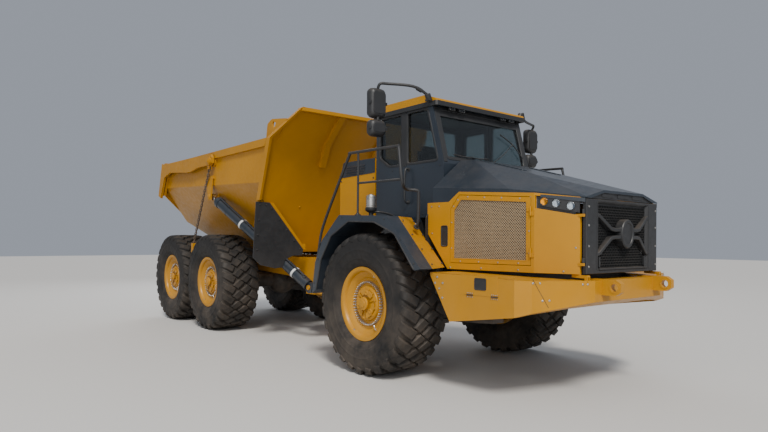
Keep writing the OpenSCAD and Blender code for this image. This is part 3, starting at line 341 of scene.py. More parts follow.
# which finish each node of the frame takes, and how round its edges are in metres
dressing = {
    "bedPaint": (["dump_body", "headboard", "tailgate"], 0.006),
    "yellowPaint": (["bumper", "fender_strips", "cab_roof", "bumper_wings", "rear_box", "hood_sides", "rear_chassis",
                     "hitch_yoke", "screen_door_r", "screen_door_l"]
                    + ["rim_" + name for name in wheelPlaces], 0.006),
    "slatePaint": (["fenders", "cab_shell", "hood_shell", "cab_door", "steer_barrel_r", "steer_barrel_l",
                    "hoist_barrel_r", "hoist_barrel_l"], 0.008),
    "frameBlack": (["front_chassis", "front_crossmembers", "hitch_jaws", "cab_mounts", "front_axle", "middle_axle",
                    "rear_axle", "front_suspension", "walking_beams", "driveshaft"], 0.006),
    "moldedBlack": (["mud_flaps", "mirrors", "handrails", "grille", "headlamps", "cab_interior"], 0.004),
    "castGrey": (["engine_block"], 0.006),
    "polishedRod": ([rod + name for rod in ("steer_rod_", "hoist_stage_", "hoist_rod_") for name in sides], 0.002),
    "chainSteel": (["tailgate_chains"], 0.0),
    "rubber": (["tyre_" + name for name in wheelPlaces], 0.0),
    "cabGlass": (["cab_glass", "cab_door_glass"], 0.0),
}


def softenEdges(o, width, degrees):
    b = o.modifiers.new("softEdges", "BEVEL")
    b.width, b.segments, b.limit_method, b.angle_limit = width, 2, "ANGLE", math.radians(degrees)
    b.harden_normals = True


for look, (nodes, edge) in dressing.items():
    for node in nodes:
        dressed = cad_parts[node]
        dressed.data.materials.clear()
        dressed.data.materials.append(finish[look])
        if edge:
            softenEdges(dressed, edge, 32)
print("frame dressed")


def newShape():
    return bmesh.new()


def anglesOf(count):
    return [2 * math.pi * k / count for k in range(count)]


def rectangle(u0, v0, u1, v1):
    return [(u0, v0), (u1, v0), (u1, v1), (u0, v1)]


def joinLoops(bm, a, b):
    for i in range(len(a)):
        bm.faces.new((a[i], a[(i + 1) % len(a)], b[(i + 1) % len(a)], b[i]))


def addPrism(bm, outline, push):
    # flat outline of 3D points, pushed along a vector into a closed solid
    push = Vector(push)
    a = [bm.verts.new(p) for p in outline]
    b = [bm.verts.new(Vector(p) + push) for p in outline]
    bm.faces.new(a[::-1])
    bm.faces.new(b)
    joinLoops(bm, a, b)


def addBlock(bm, lo, hi):
    (x0, y0, z0), (x1, y1, z1) = lo, hi
    addPrism(bm, [(x, y, z0) for x, y in rectangle(x0, y0, x1, y1)], (0, 0, z1 - z0))


def addRings(bm, rings, closed=False):
    # skin over a row of point rings: on to the first one again, or with a cap at both ends
    made = [[bm.verts.new(p) for p in ring] for ring in rings]
    for a, b in zip(made, made[1:] + (made[:1] if closed else [])):
        joinLoops(bm, a, b)
    if not closed:
        bm.faces.new(made[0][::-1])
        bm.faces.new(made[-1])


def addTurned(bm, profile, centre, axis, count=24, closed=False):
    # profile of (radius, height) pairs turned round an axis through centre
    axis = Vector(axis).normalized()
    side = axis.orthogonal().normalized()
    other = axis.cross(side)
    centre = Vector(centre)
    addRings(bm, [[centre + axis * h + (side * math.cos(a) + other * math.sin(a)) * r for a in anglesOf(count)]
                  for r, h in profile], closed)


def smoothRun(points, steps=6):
    # a rounded path through the points
    pts = [Vector(p) for p in points]
    out = []
    for k in range(len(pts) - 1):
        a, b = pts[max(k - 1, 0)], pts[k]
        c, d = pts[k + 1], pts[min(k + 2, len(pts) - 1)]
        for j in range(steps):
            t = j / steps
            square, cube = 2 * a - 5 * b + 4 * c - d, 3 * b - a - 3 * c + d
            out.append(0.5 * (2 * b + (c - a) * t + square * t * t + cube * t ** 3))
    return out + [pts[-1]]


def addPipe(bm, path, radius, count=10):
    path = [Vector(p) for p in path]
    up = Vector((0, 0, 1))
    first = (path[1] - path[0]).normalized()
    side = first.cross(up) if abs(first.dot(up)) < 0.95 else first.cross(Vector((0, 1, 0)))
    side.normalize()
    rings = []
    for k, p in enumerate(path):
        t = (path[min(k + 1, len(path) - 1)] - path[max(k - 1, 0)]).normalized()
        side = (side - t * side.dot(t)).normalized()
        other = t.cross(side)
        rings.append([p + (side * math.cos(a) + other * math.sin(a)) * radius for a in anglesOf(count)])
    addRings(bm, rings)


def addScrew(bm, radius, rim, crown, top, place, axis, count):
    # low round head: its rim's height, then its crown's radius and height
    addTurned(bm, [(radius, -0.001), (radius, rim), (crown, top)], place, axis, count)


def addBolt(bm, place, axis, across=0.024, high=0.012):
    # hexagon head on a washer
    r = across / 2
    addTurned(bm, [(r * 1.35, -0.001), (r * 1.35, high * 0.2)], place, axis, 12)
    addTurned(bm, [(r, high * 0.2), (r, high * 0.85), (r * 0.82, high)], place, axis, 6)


def makeMesh(bm, name, look, sharpFrom):
    # smooth shading up to an angle in degrees, or flat where it is 0
    bmesh.ops.recalc_face_normals(bm, faces=bm.faces)
    me = bpy.data.meshes.new(name)
    bm.to_mesh(me)
    bm.free()
    me.materials.append(finish[look])
    if sharpFrom:
        me.shade_smooth()
        me.set_sharp_from_angle(angle=math.radians(sharpFrom))
    return me


def finishPiece(bm, name, body, look, edge=0.0, smooth=True):
    o = bpy.data.objects.new(name, makeMesh(bm, name, look, 38 if smooth else 0))
    bpy.context.collection.objects.link(o)
    if edge:
        softenEdges(o, edge, 35)
    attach(o, body)
    return o


def addPlate(bm, outline, place, d0, d1):
    # flat outline (u, v) through place(u, d, v), from depth d0 to d1
    a = [bm.verts.new(place(u, d0, v)) for u, v in outline]
    b = [bm.verts.new(place(u, d1, v)) for u, v in outline]
    bm.faces.new(a[::-1])
    bm.faces.new(b)
    joinLoops(bm, a, b)


def addRing(bm, outer, inner, place, d0, d1):
    # a frame between two outlines of the same number of points
    addRings(bm, [[place(u, d, v) for u, v in line]
                  for line, d in ((outer, d0), (outer, d1), (inner, d1), (inner, d0))], closed=True)


def insetOutline(pts, g):
    pts = [Vector(p) for p in pts]
    n = len(pts)
    area = sum(pts[i].x * pts[(i + 1) % n].y - pts[(i + 1) % n].x * pts[i].y for i in range(n))
    s = 1 if area > 0 else -1
    out = []
    for i in range(n):
        d0, d1 = (pts[i] - pts[i - 1]).normalized(), (pts[(i + 1) % n] - pts[i]).normalized()
        n0, n1 = Vector((-d0.y, d0.x)) * s, Vector((-d1.y, d1.x)) * s
        out.append(tuple(pts[i] + (n0 + n1) * (g / max(0.3, 1 + n0.dot(n1)))))
    return out


def roundOutline(pts, r, steps=3):
    # each corner turned into a short curve
    pts = [Vector(p) for p in pts]
    out = []
    for i, q in enumerate(pts):
        p, t = pts[i - 1], pts[(i + 1) % len(pts)]
        k = min(r, (p - q).length * 0.45, (t - q).length * 0.45)
        a, b = q + (p - q).normalized() * k, q + (t - q).normalized() * k
        out += [tuple(a.lerp(q, j / steps).lerp(q.lerp(b, j / steps), j / steps)) for j in range(steps + 1)]
    return out


def addPanel(bm, corners, radius, place, d0, d1):
    # rectangular plate with rounded corners
    addPlate(bm, roundOutline(rectangle(*corners), radius), place, d0, d1)


def addSteps(bm, line, place, steps, closed=False):
    # an outline carried through steps of (inset, depth)
    addRings(bm, [[place(u, d, v) for u, v in insetOutline(line, g)] for g, d in steps], closed)


def facingSide(side, y=0.0):
    # u is x, v is z, depth grows outward
    return lambda u, d, v: at(u, side * (y + d), v)


def facingFront(x=0.0):
    # u is y, v is z, depth grows forward
    return lambda u, d, v: at(x + d, u, v)


def facingUp(z):
    # u is x, v is y, depth grows upward
    return lambda u, d, v: at(u, v, z + d)


def hoodHalf(x):
    # half width of the hood: a long taper, then a short steeper one to the nose
    if x < 2.2:
        return 1.12 + (0.96 - 1.12) * (x - 0.7) / 1.5
    return 0.96 + (0.768 - 0.96) * (x - 2.2) / 0.52


def alongHood(side, x0, x1):
    # u runs along a hood side from its front end, depth grows outward
    a = math.atan2(hoodHalf(x0) - hoodHalf(x1), x1 - x0)
    c, s = math.cos(a), math.sin(a)
    return lambda u, d, v: at(x1 + u * c + d * s, side * (hoodHalf(x1) - u * s + d * c), v)


def addDome(bm, place, u, v, radius, d0, rise, count=20):
    # a lens: its rim at depth d0, its crown risen from there
    rings = []
    for k in range(5):
        t = k / 4 * math.pi / 2
        r, h = radius * math.cos(t) * 0.999 + 0.0004, rise * math.sin(t)
        rings.append([place(u + r * math.cos(a), d0 + h, v + r * math.sin(a)) for a in anglesOf(count)])
    addRings(bm, rings)


def addCup(bm, place, u, v, profile, count=24):
    # profile of (radius, depth) turned round an axis along the depth
    addRings(bm, [[place(u + r * math.cos(a), d, v + r * math.sin(a)) for a in anglesOf(count)] for r, d in profile])


# tyres: carcass, and a tread of slanted shoulder lugs and turned blocks
tyreShape = {"radius": 0.935, "pitches": 28, "ring": 112, "phase": -0.085,
             "lugSlant": 28, "lugHalf": 0.066, "lugFrom": 0.422, "lugTo": 0.172,
             "blockAt": 0.078, "blockLong": 0.074, "blockShort": 0.060, "blockRise": 42, "blockFall": 30,
             "top": [(0, 0, 0.935), (0.20, 0.20, 0.932), (0.30, 0.299, 0.926), (0.348, 0.344, 0.911),
                     (0.386, 0.367, 0.882), (0.43, 0.374, 0.846)],
             "base": [(0, 0, 0.892), (0.20, 0.20, 0.890), (0.30, 0.296, 0.885), (0.348, 0.335, 0.872),
                      (0.386, 0.354, 0.856), (0.43, 0.362, 0.836)],
             "side": [(0.366, 0.815), (0.3715, 0.790), (0.3735, 0.760), (0.3750, 0.718), (0.3780, 0.713),
                      (0.3780, 0.705), (0.3750, 0.700), (0.3740, 0.670), (0.3700, 0.630), (0.3640, 0.600),
                      (0.3640, 0.594), (0.3580, 0.586), (0.3500, 0.560), (0.3440, 0.548), (0.3340, 0.532),
                      (0.3180, 0.515), (0.3100, 0.500), (0.2955, 0.490), (0.2955, 0.4702)]}


def wheelSpot(name):
    # a wheel's centre, and the way that its face looks
    x, side = wheelPlaces[name]
    return at(x, side * trackHalf, tyreShape["radius"]), Vector((0, side, 0))


def onCurve(curve, w):
    # across the tread: axial place and radius at distance w from its middle
    a = abs(w)
    for (w0, x0, r0), (w1, x1, r1) in zip(curve, curve[1:]):
        if a <= w1 or w1 == curve[-1][0]:
            t = (a - w0) / (w1 - w0)
            return math.copysign(x0 + (x1 - x0) * t, w), r0 + (r1 - r0) * t


def treadPoint(t, w, s, lift):
    x1, r1 = onCurve(t["top"], w)
    x0, r0 = onCurve(t["base"], w)
    y, r = x0 + (x1 - x0) * lift, r0 - 0.004 + (r1 - r0 + 0.004) * lift
    turn = s / t["radius"]
    return Vector((r * math.cos(turn), y, -r * math.sin(turn)))


def addLug(bm, t, start, run, across, half, steps, turnOver, ends):
    # a block along run from start; across is its side direction, both in the tread's own plane (w, s)
    rings = []
    for k in range(steps + 3):
        f = min(max((k - 1) / steps, 0), 1)
        low = 1 if k in (0, steps + 2) else 0
        c = start + run * f
        h = half * (ends[0] + (ends[1] - ends[0]) * f)
        if low:
            c = c - run.normalized() * 0.010 * (1 if k == 0 else -1)
        ring = []
        for o, lift in ((-h - 0.013, 0.0), (-h, 0.80), (-h + 0.009, 1.0), (h - 0.009, 1.0), (h, 0.80),
                        (h + 0.013, 0.0)):
            q = c + across * (o - math.copysign(0.004 * low, o))
            ring.append(treadPoint(t, -turnOver * q.x, turnOver * q.y, lift * (0.78 if low else 1)))
        rings.append(ring)
    addRings(bm, rings)


def makeTyreMesh(t):
    bm = newShape()
    half = [(y, r) for _, y, r in t["base"]]
    line = [(y, r) for y, r in half] + t["side"]
    profile = [(r, y) for y, r in line[::-1]] + [(r, -y) for y, r in line[1:]]
    addTurned(bm, profile, (0, 0, 0), (0, 1, 0), t["ring"], closed=True)
    pitch = 2 * math.pi * t["radius"] / t["pitches"]
    slant, rise, fall = (math.radians(t[k]) for k in ("lugSlant", "blockRise", "blockFall"))
    for turnOver, shift in ((1, 0.0), (-1, 0.5)):
        for i in range(t["pitches"]):
            s0 = (i + shift) * pitch
            # shoulder lug: from the outer edge, running inward and down at the front
            run = Vector((-math.cos(slant), math.sin(slant))) * ((t["lugFrom"] - t["lugTo"]) / math.cos(slant))
            start = Vector((t["lugFrom"], s0 + t["phase"] - run.y))
            addLug(bm, t, start, run, Vector((math.sin(slant), math.cos(slant))), t["lugHalf"], 6, turnOver,
                   (0.80, 0.93))
            # turned block next to it
            u, v = Vector((-math.cos(rise), -math.sin(rise))), Vector((-math.cos(fall), math.sin(fall)))
            start = Vector((t["blockAt"], s0)) - u * t["blockLong"]
            side = v - u * v.dot(u) * 0.25
            addLug(bm, t, start, u * 2 * t["blockLong"], side, t["blockShort"], 2, turnOver, (0.98, 0.98))
    return makeMesh(bm, "tyreMesh", "rubber", 34)


def placeTyres(t):
    shared = makeTyreMesh(t)
    for name in wheelPlaces:
        me = shared.copy()
        me.transform(Matrix.Translation(wheelSpot(name)[0]))
        o = bpy.data.objects.new("tyre_" + name + "_tread", me)
        bpy.context.collection.objects.link(o)
        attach(o, "wheel_" + name)
        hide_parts("tyre_" + name)


placeTyres(tyreShape)
print("tyres built")

# wheel hardware: stud ring, hub cover bolts, plugs, pads and valve
hubShape = {"studs": 46, "studRadius": 0.283, "studFace": 0.200,
            "coverBolts": 12, "coverRadius": 0.196, "coverFace": 0.245,
            "plugs": [(0.145, 80), (0.145, 200), (0.145, 320)], "pads": (35, 155, 275)}

rimShape = {"profile": [(0.150, 0.220), (0.150, -0.180), (0.225, -0.180), (0.410, 0.020), (0.440, -0.310),
                        (0.4877, -0.310), (0.4877, -0.2965), (0.4697, -0.2965), (0.4697, 0.2965), (0.4877, 0.2965),
                        (0.4877, 0.310), (0.458, 0.310), (0.440, 0.306), (0.427, 0.294), (0.416, 0.262),
                        (0.372, 0.240), (0.350, 0.220), (0.330, 0.200), (0.240, 0.200), (0.232, 0.206),
                        (0.228, 0.228), (0.220, 0.240), (0.206, 0.245), (0.100, 0.245)],
            "ribs": (20, 140, 260), "rib": (0.085, -0.012, 0.205, 0.012), "ribFoot": 0.244, "ribRise": 0.011}


def makeRims(r):
    # dished rim with a deep stud ring and a nearly flush hub
    for name in wheelPlaces:
        centre, out = wheelSpot(name)
        bm = newShape()
        addTurned(bm, r["profile"], centre, out, 96)
        for degrees in r["ribs"]:
            a = math.radians(degrees)
            ray, across = Vector((math.cos(a), 0, math.sin(a))), Vector((-math.sin(a), 0, math.cos(a)))
            foot = centre + out * r["ribFoot"]
            addPrism(bm, [foot + ray * u + across * v for u, v in rectangle(*r["rib"])], out * r["ribRise"])
        o = finishPiece(bm, "rimDished_" + name, "wheel_" + name, "yellowPaint", 0.002)
        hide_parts("rim_" + name)


makeRims(rimShape)
print("rims built")


def makeHubs(h):
    for name in wheelPlaces:
        centre, out = wheelSpot(name)

        def spot(radius, degrees, depth):
            a = math.radians(degrees)
            return centre + Vector((radius * math.cos(a), 0, radius * math.sin(a))) + out * depth
        bm = newShape()
        for k in range(h["studs"]):
            p = spot(h["studRadius"], k * 360 / h["studs"], h["studFace"])
            addTurned(bm, [(0.0165, -0.001), (0.0165, 0.004), (0.0150, 0.004), (0.0150, 0.020), (0.0128, 0.024)], p,
                      out, 6)
            addTurned(bm, [(0.0085, 0.023), (0.0085, 0.044), (0.0060, 0.047)], p, out, 8)
        finishPiece(bm, "wheelStuds_" + name, "wheel_" + name, "zincSteel")
        bm = newShape()
        for k in range(h["coverBolts"]):
            addBolt(bm, spot(h["coverRadius"], (k + 0.5) * 360 / h["coverBolts"], h["coverFace"]), out, 0.026, 0.014)
        for radius, degrees in h["plugs"]:
            addTurned(bm, [(0.034, 0.012), (0.034, 0.026), (0.028, 0.030), (0.018, 0.030), (0.018, 0.024)],
                      spot(radius, degrees, h["coverFace"]), out, 20)
        addTurned(bm, [(0.075, 0.018), (0.088, 0.020), (0.088, 0.038), (0.080, 0.046), (0.052, 0.048),
                       (0.050, 0.056), (0.030, 0.058)],
                  spot(0, 0, h["coverFace"] + 0.016), out, 32)
        # raised pads between the ribs
        for a0 in h["pads"]:
            arc = [a0 + 90 * j / 8 for j in range(9)]
            edge = [spot(0.190, a, 0) for a in arc] + [spot(0.118, a, 0) for a in arc[::-1]]
            addRings(bm, [[p + out * (h["coverFace"] + d) for p in edge] for d in (0.013, 0.020)])
        finishPiece(bm, "hubCover_" + name, "wheel_" + name, "yellowPaint", 0.002)
        bm = newShape()
        addPipe(bm, smoothRun([spot(0.405, 305, 0.235), spot(0.395, 305, 0.262), spot(0.37, 305, 0.268),
                               spot(0.345, 305, 0.262)], 4), 0.006, 8)
        addTurned(bm, [(0.009, 0), (0.009, 0.022), (0.006, 0.024)], spot(0.347, 305, 0.262),
                  spot(-1, 305, 0) - spot(0, 305, 0), 8)
        for a in (60, 240):
            addTurned(bm, [(0.016, -0.002), (0.016, 0.010), (0.010, 0.014)], spot(0.425, a, 0.278), out, 12)
        finishPiece(bm, "valveStem_" + name, "wheel_" + name, "zincSteel")


makeHubs(hubShape)
print("wheel hardware built")


# screen doors: an expanded sheet of stretched cells over a dark backing
screenShape = {"cellWide": 0.031, "cellHigh": 0.0155, "flat": 0.16, "web": 0.30, "depth": (-0.0125, -0.0085),
               "corners": [(1.035, 1.495), (1.035, 2.160), (1.170, 2.332), (2.160, 2.262), (2.160, 1.495)],
               "border": 0.055}


def makeScreens(s):
    x0, x1 = s["corners"][0][0], s["corners"][-1][0]
    stretch = math.hypot(x1 - x0, hoodHalf(x0) - hoodHalf(x1)) / (x1 - x0)
    line = insetOutline([((x - x1) * stretch, z) for x, z in s["corners"]], s["border"])
    lo, hi = [min(p[k] for p in line) for k in (0, 1)], [max(p[k] for p in line) for k in (0, 1)]

    def inside(u, v, room):
        # the outline is convex, so each edge is tested in turn
        for i in range(len(line)):
            (ax, ay), (bx, by) = line[i - 1], line[i]
            if ((bx - ax) * (v - ay) - (by - ay) * (u - ax)) / math.hypot(bx - ax, by - ay) > room:
                return False
        return True
    for name, side in sides.items():
        place = alongHood(side, x0, x1)
        bm = newShape()
        w, h = s["cellWide"], s["cellHigh"]
        c = s["flat"] * h
        d0, d1 = s["depth"]
        for j in range(int((hi[1] - lo[1]) / h) + 2):
            for i in range(int((hi[0] - lo[0]) / w) + 2):
                u, v = lo[0] + (i + (j % 2) / 2) * w, lo[1] + j * h
                if not inside(u, v, h * 0.4):
                    continue
                cell = [(-w / 2, -c), (0, c - h), (w / 2, -c), (w / 2, c), (0, h - c), (-w / 2, c)]
                hole = [(a * (1 - s["web"]), b * (1 - s["web"] * 1.1)) for a, b in cell]
                a = [bm.verts.new(place(u + p, d1, v + q)) for p, q in cell]
                b = [bm.verts.new(place(u + p, d1 + 0.0012, v + q)) for p, q in hole]
                e = [bm.verts.new(place(u + p, d0, v + q)) for p, q in hole]
                joinLoops(bm, a, b)
                joinLoops(bm, b, e)
        bmesh.ops.remove_doubles(bm, verts=bm.verts, dist=0.0004)
        finishPiece(bm, "screenSheet_" + name, "screen_" + name, "meshTan", smooth=False)
        bm = newShape()
        addPlate(bm, line, place, -0.0139, -0.0129)
        finishPiece(bm, "screenBacking_" + name, "screen_" + name, "ventBlack", smooth=False)
        # edge strip, quarter-turn latches and rivets round the door
        bm = newShape()
        addRing(bm, insetOutline(line, -0.004), insetOutline(line, 0.006), place, -0.0085, 0.002)
        finishPiece(bm, "screenTrim_" + name, "screen_" + name, "yellowPaint", 0.001)
        bm = newShape()
        outer = insetOutline([((x - x1) * stretch, z) for x, z in s["corners"]], 0.024)
        for i in range(len(outer)):
            a, b = Vector(outer[i]), Vector(outer[(i + 1) % len(outer)])
            n = max(2, round((b - a).length / 0.26))
            for k in range(n):
                q = a.lerp(b, (k + 0.5) / n)
                base, tip = place(q.x, 0, q.y), place(q.x, 1, q.y)
                addScrew(bm, 0.0095, 0.003, 0.006, 0.0055, base, tip - base, 10)
        finishPiece(bm, "screenScrews_" + name, "screen_" + name, "zincSteel")


makeScreens(screenShape)
print("screens built")

# grille: wide side posts, a deep recess with a cellular guard, and forked ribs that meet at an oval boss
grilleShape = {"front": 2.72, "half": 0.758, "low": 1.42, "high": 2.225, "post": 0.235, "top": 0.045, "sill": 0.060,
               "cell": 0.034,
               "bow": 0.045, "hub": (0.135, 0.165), "forkAt": 0.30, "bandGap": 0.082,
               "forkEnd": (0.535, 2.045, 1.640)}


def makeGrille(s):
    front = facingFront(s["front"])
    half, low, high = s["half"], s["low"], s["high"]
    outer = rectangle(-half, low, half, high)
    innerHalf = half - s["post"]
    inner = rectangle(-innerHalf, low + s["sill"], innerHalf, high - s["top"])
    mouth = insetOutline(inner, -0.022)
    bm = newShape()
    steps = ((outer, -0.050), (outer, -0.006), (insetOutline(outer, 0.006), 0.0), (insetOutline(mouth, -0.004), 0.0),
             (mouth, -0.003), (inner, -0.034), (inner, -0.046))
    addRings(bm, [[front(u, d, v) for u, v in line] for line, d in steps])
    # ribs down the posts and a lip along the sill
    for k in (-1, 1):
        edge = k * (half - s["post"] + 0.030)
        addPlate(bm, rectangle(edge - 0.006, low + 0.03, edge + 0.006, high - 0.03), front, -0.002, 0.005)
    addPlate(bm, rectangle(-innerHalf, low + 0.040, innerHalf, low + 0.056), front, -0.002, 0.010)
    # hinge knuckles on the side edge
    for z in (1.54, 2.06):
        base = at(2.695, -0.786, z)
        addTurned(bm, [(0.013, 0), (0.013, 0.05)], base, (0, 0, 1), 16)
        addBlock(bm, at(2.690, -0.786, z), at(2.708, -half + 0.001, z + 0.05))
    shell = finishPiece(bm, "grilleFrame", "grille", "moldedBlack", 0.003)
    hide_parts("grille")
    # cellular guard: six-sided cells standing out of the back plate
    bm = newShape()
    w = s["cell"]
    h = w * 0.866
    for j in range(int((inner[2][1] - inner[0][1]) / h)):
        for i in range(int((inner[1][0] - inner[0][0]) / w)):
            u, v = inner[0][0] + (i + 0.5 + (j % 2) / 2) * w, inner[0][1] + (j + 0.55) * h
            if u > inner[1][0] - w * 0.45:
                continue
            ring, hole = ([(u + math.sin(a) * w * r, v + math.cos(a) * w * r)
                           for a in (math.pi / 3 * k for k in range(6))] for r in (0.577, 0.50))
            a, b, c = ([bm.verts.new(front(p, d, q)) for p, q in line]
                       for line, d in ((ring, -0.032), (hole, -0.032), (hole, -0.0455)))
            joinLoops(bm, a, b)
            joinLoops(bm, b, c)
    bmesh.ops.remove_doubles(bm, verts=bm.verts, dist=0.0004)
    finishPiece(bm, "grilleGuard", "grille", "ventBlack", smooth=False)
    # ribs: a pair of level bands that fork to the posts, bowed forward in the middle

    def depth(u):
        return s["bow"] * (1 - (u / 0.56) ** 2)
    bm = newShape()
    endY, endHigh, endLow = s["forkEnd"]
    mid = 1.857
    for k in (-1, 1):
        for up, endZ in ((1, endHigh), (-1, endLow)):
            path = [(0.09, mid + up * s["bandGap"] / 2), (s["forkAt"] * 0.8, mid + up * s["bandGap"] / 2),
                    (s["forkAt"] * 1.02, mid + up * (s["bandGap"] / 2 + 0.012)),
                    (endY - 0.03, endZ), (endY + 0.012, endZ + up * 0.012)]
            rings = []
            for i, (u, v) in enumerate(path):
                a, b = path[max(i - 1, 0)], path[min(i + 1, len(path) - 1)]
                run = Vector((b[0] - a[0], b[1] - a[1])).normalized()
                n = Vector((-run.y, run.x))
                g, f = 0.021, depth(u)
                rings.append([front(k * (u + n.x * o), d, v + n.y * o) for o, d in
                              ((-g, -0.042), (-g, f - 0.010), (-g + 0.008, f - 0.002), (g - 0.008, f - 0.002),
                               (g, f - 0.010), (g, -0.042))])
            addRings(bm, rings)
    a, b = s["hub"]
    rings = []
    for r, d in ((1.0, -0.042), (1.0, 0.040), (0.94, 0.052), (0.78, 0.052), (0.73, 0.040), (0.60, 0.038),
                 (0.02, 0.040)):
        rings.append([front(a * r * math.cos(t), d, mid + b * r * math.sin(t)) for t in anglesOf(36)])
    addRings(bm, rings)
    finishPiece(bm, "grilleRibs", "grille", "moldedBlack", 0.002)
    # paddle latches and round plugs by the posts
    bm = newShape()
    for k in (-1, 1):
        addPanel(bm, (k * 0.485 - 0.012, 1.49, k * 0.485 + 0.012, 1.60), 0.006, front, -0.035, -0.012)
        addCup(bm, front, k * 0.43, 1.636, [(0.012, -0.034), (0.012, -0.024), (0.007, -0.022)])
    finishPiece(bm, "grilleLatches", "grille", "moldedBlack", 0.001)
    bm = newShape()
    for k in (-1, 1):
        for z in (1.50, 1.72, 1.94, 2.14):
            addBolt(bm, front(k * (half - 0.040), 0.0, z), (1, 0, 0), 0.018, 0.008)
        addBolt(bm, front(k * 0.455, -0.033, 1.665), (1, 0, 0), 0.020, 0.010)
    finishPiece(bm, "grilleBolts", "grille", "zincSteel")


makeGrille(grilleShape)
print("grille built")

# lamps in the hood sides: a dark panel, one amber lamp and two round lamps behind clear covers
lampShape = {"from": 2.225, "to": 2.72, "lamps": [(-0.448, 2.204, 0.040, "lensAmber"),
                                                  (-0.317, 2.182, 0.042, "lensClear"),
                                                  (-0.160, 2.150, 0.042, "lensClear")],
             "bezel": [(0.0075, -0.0215), (0.0075, -0.006), (0.012, -0.003), (0.013, -0.001), (0.006, 0.000),
                       (0.002, -0.003), (0.001, -0.0118)],
             "bowl": [(0.98, -0.0045), (0.80, -0.0090), (0.42, -0.0114), (0.30, -0.0116), (0.30, -0.0065),
                      (0.20, -0.0050)],
             "screws": [(-0.475, 2.172), (-0.475, 2.242), (-0.085, 2.088), (-0.085, 2.186)]}


def makeHeadlamps(s):
    for name, side in sides.items():
        place = alongHood(side, s["from"], s["to"])
        bm = newShape()
        for u, v, r, _ in s["lamps"]:
            addCup(bm, place, u, v, [(r + dr, d) for dr, d in s["bezel"]], 28)
        for u, v in s["screws"]:
            addCup(bm, place, u, v, [(0.008, -0.006), (0.008, -0.001), (0.005, 0.001)], 8)
        finishPiece(bm, "lampBezels_" + name, "hood", "moldedBlack", 0.0008)
        bm = newShape()
        for u, v, r, _ in s["lamps"]:
            # bowl reflector round a small bulb cap
            addCup(bm, place, u, v, [(r * k, d) for k, d in s["bowl"]], 24)
        finishPiece(bm, "lampReflectors_" + name, "hood", "mirrorSilver")
        for kind in ("lensAmber", "lensClear"):
            bm = newShape()
            for u, v, r, k in s["lamps"]:
                if k == kind:
                    addDome(bm, place, u, v, r, -0.0035, 0.0085)
            finishPiece(bm, kind + "_" + name, "hood", kind)


makeHeadlamps(lampShape)
print("lamps built")


# cab: window rubbers, windscreen band, roof skirt and lining (band and lining black as painted shade), work lights,
# wiper, door furniture
cabShape = {"half": 0.90, "roofLow": 3.60, "footFront": (0.73, 2.78), "headFront": (0.51, 3.60),
            "frontWindow": [(0.01, 2.83), (0.01, 3.54), (0.42, 3.54), (0.625, 2.83)],
            "rearWindow": [(-0.60, 2.97), (-0.60, 3.54), (-0.10, 3.54), (-0.10, 2.83), (-0.38, 2.83)],
            "doorWindow": [(-0.56, 2.83), (-0.56, 3.49), (-0.13, 3.49), (-0.13, 2.83)],
            "screen": rectangle(-0.81, 2.86, 0.81, 3.53),
            "back": rectangle(-0.76, 2.85, 0.76, 3.53),
            "lights": [-0.62, -0.43, 0.43, 0.62],
            "lightSteps": [(0.018, -0.062), (0.0, -0.030), (0.0, 0.0), (0.006, 0.003), (0.009, -0.004),
                           (0.014, -0.012)],
            "skirt": [(-0.707, -0.927), (0.600, -0.927), (0.622, -0.900), (0.622, 0.900), (0.600, 0.927),
                      (-0.707, 0.927)],
            "wiper": [[(0.06, 0.012, 2.845), (0.30, 0.045, 2.98), (0.60, 0.030, 3.18)],
                      [(0.36, 0.022, 3.30), (0.60, 0.020, 3.18), (0.78, 0.022, 2.98)],
                      [(-0.70, 0.020, 2.90), (-0.35, 0.020, 2.885), (-0.02, 0.020, 2.90)],
                      [(-0.10, 0.012, 2.845), (-0.22, 0.040, 2.87), (-0.36, 0.030, 2.89)]]}


def onWindscreen(s):
    (x0, z0), (x1, z1) = s["footFront"], s["headFront"]
    k = (x0 - x1) / (z1 - z0)
    t = math.atan(k)
    return lambda u, d, v: at(x0 - (v - z0) * k + d * math.cos(t), u, v + d * math.sin(t))


def addRubber(bm, outline, place, out=0.018, into=0.014, d0=-0.028, d1=0.006):
    steps = ((-out, d0), (-out, d1 - 0.003), (0.004 - out, d1), (into - 0.006, d1), (into, d1 - 0.005), (into, d0))
    addSteps(bm, roundOutline(outline, 0.05), place, steps, closed=True)


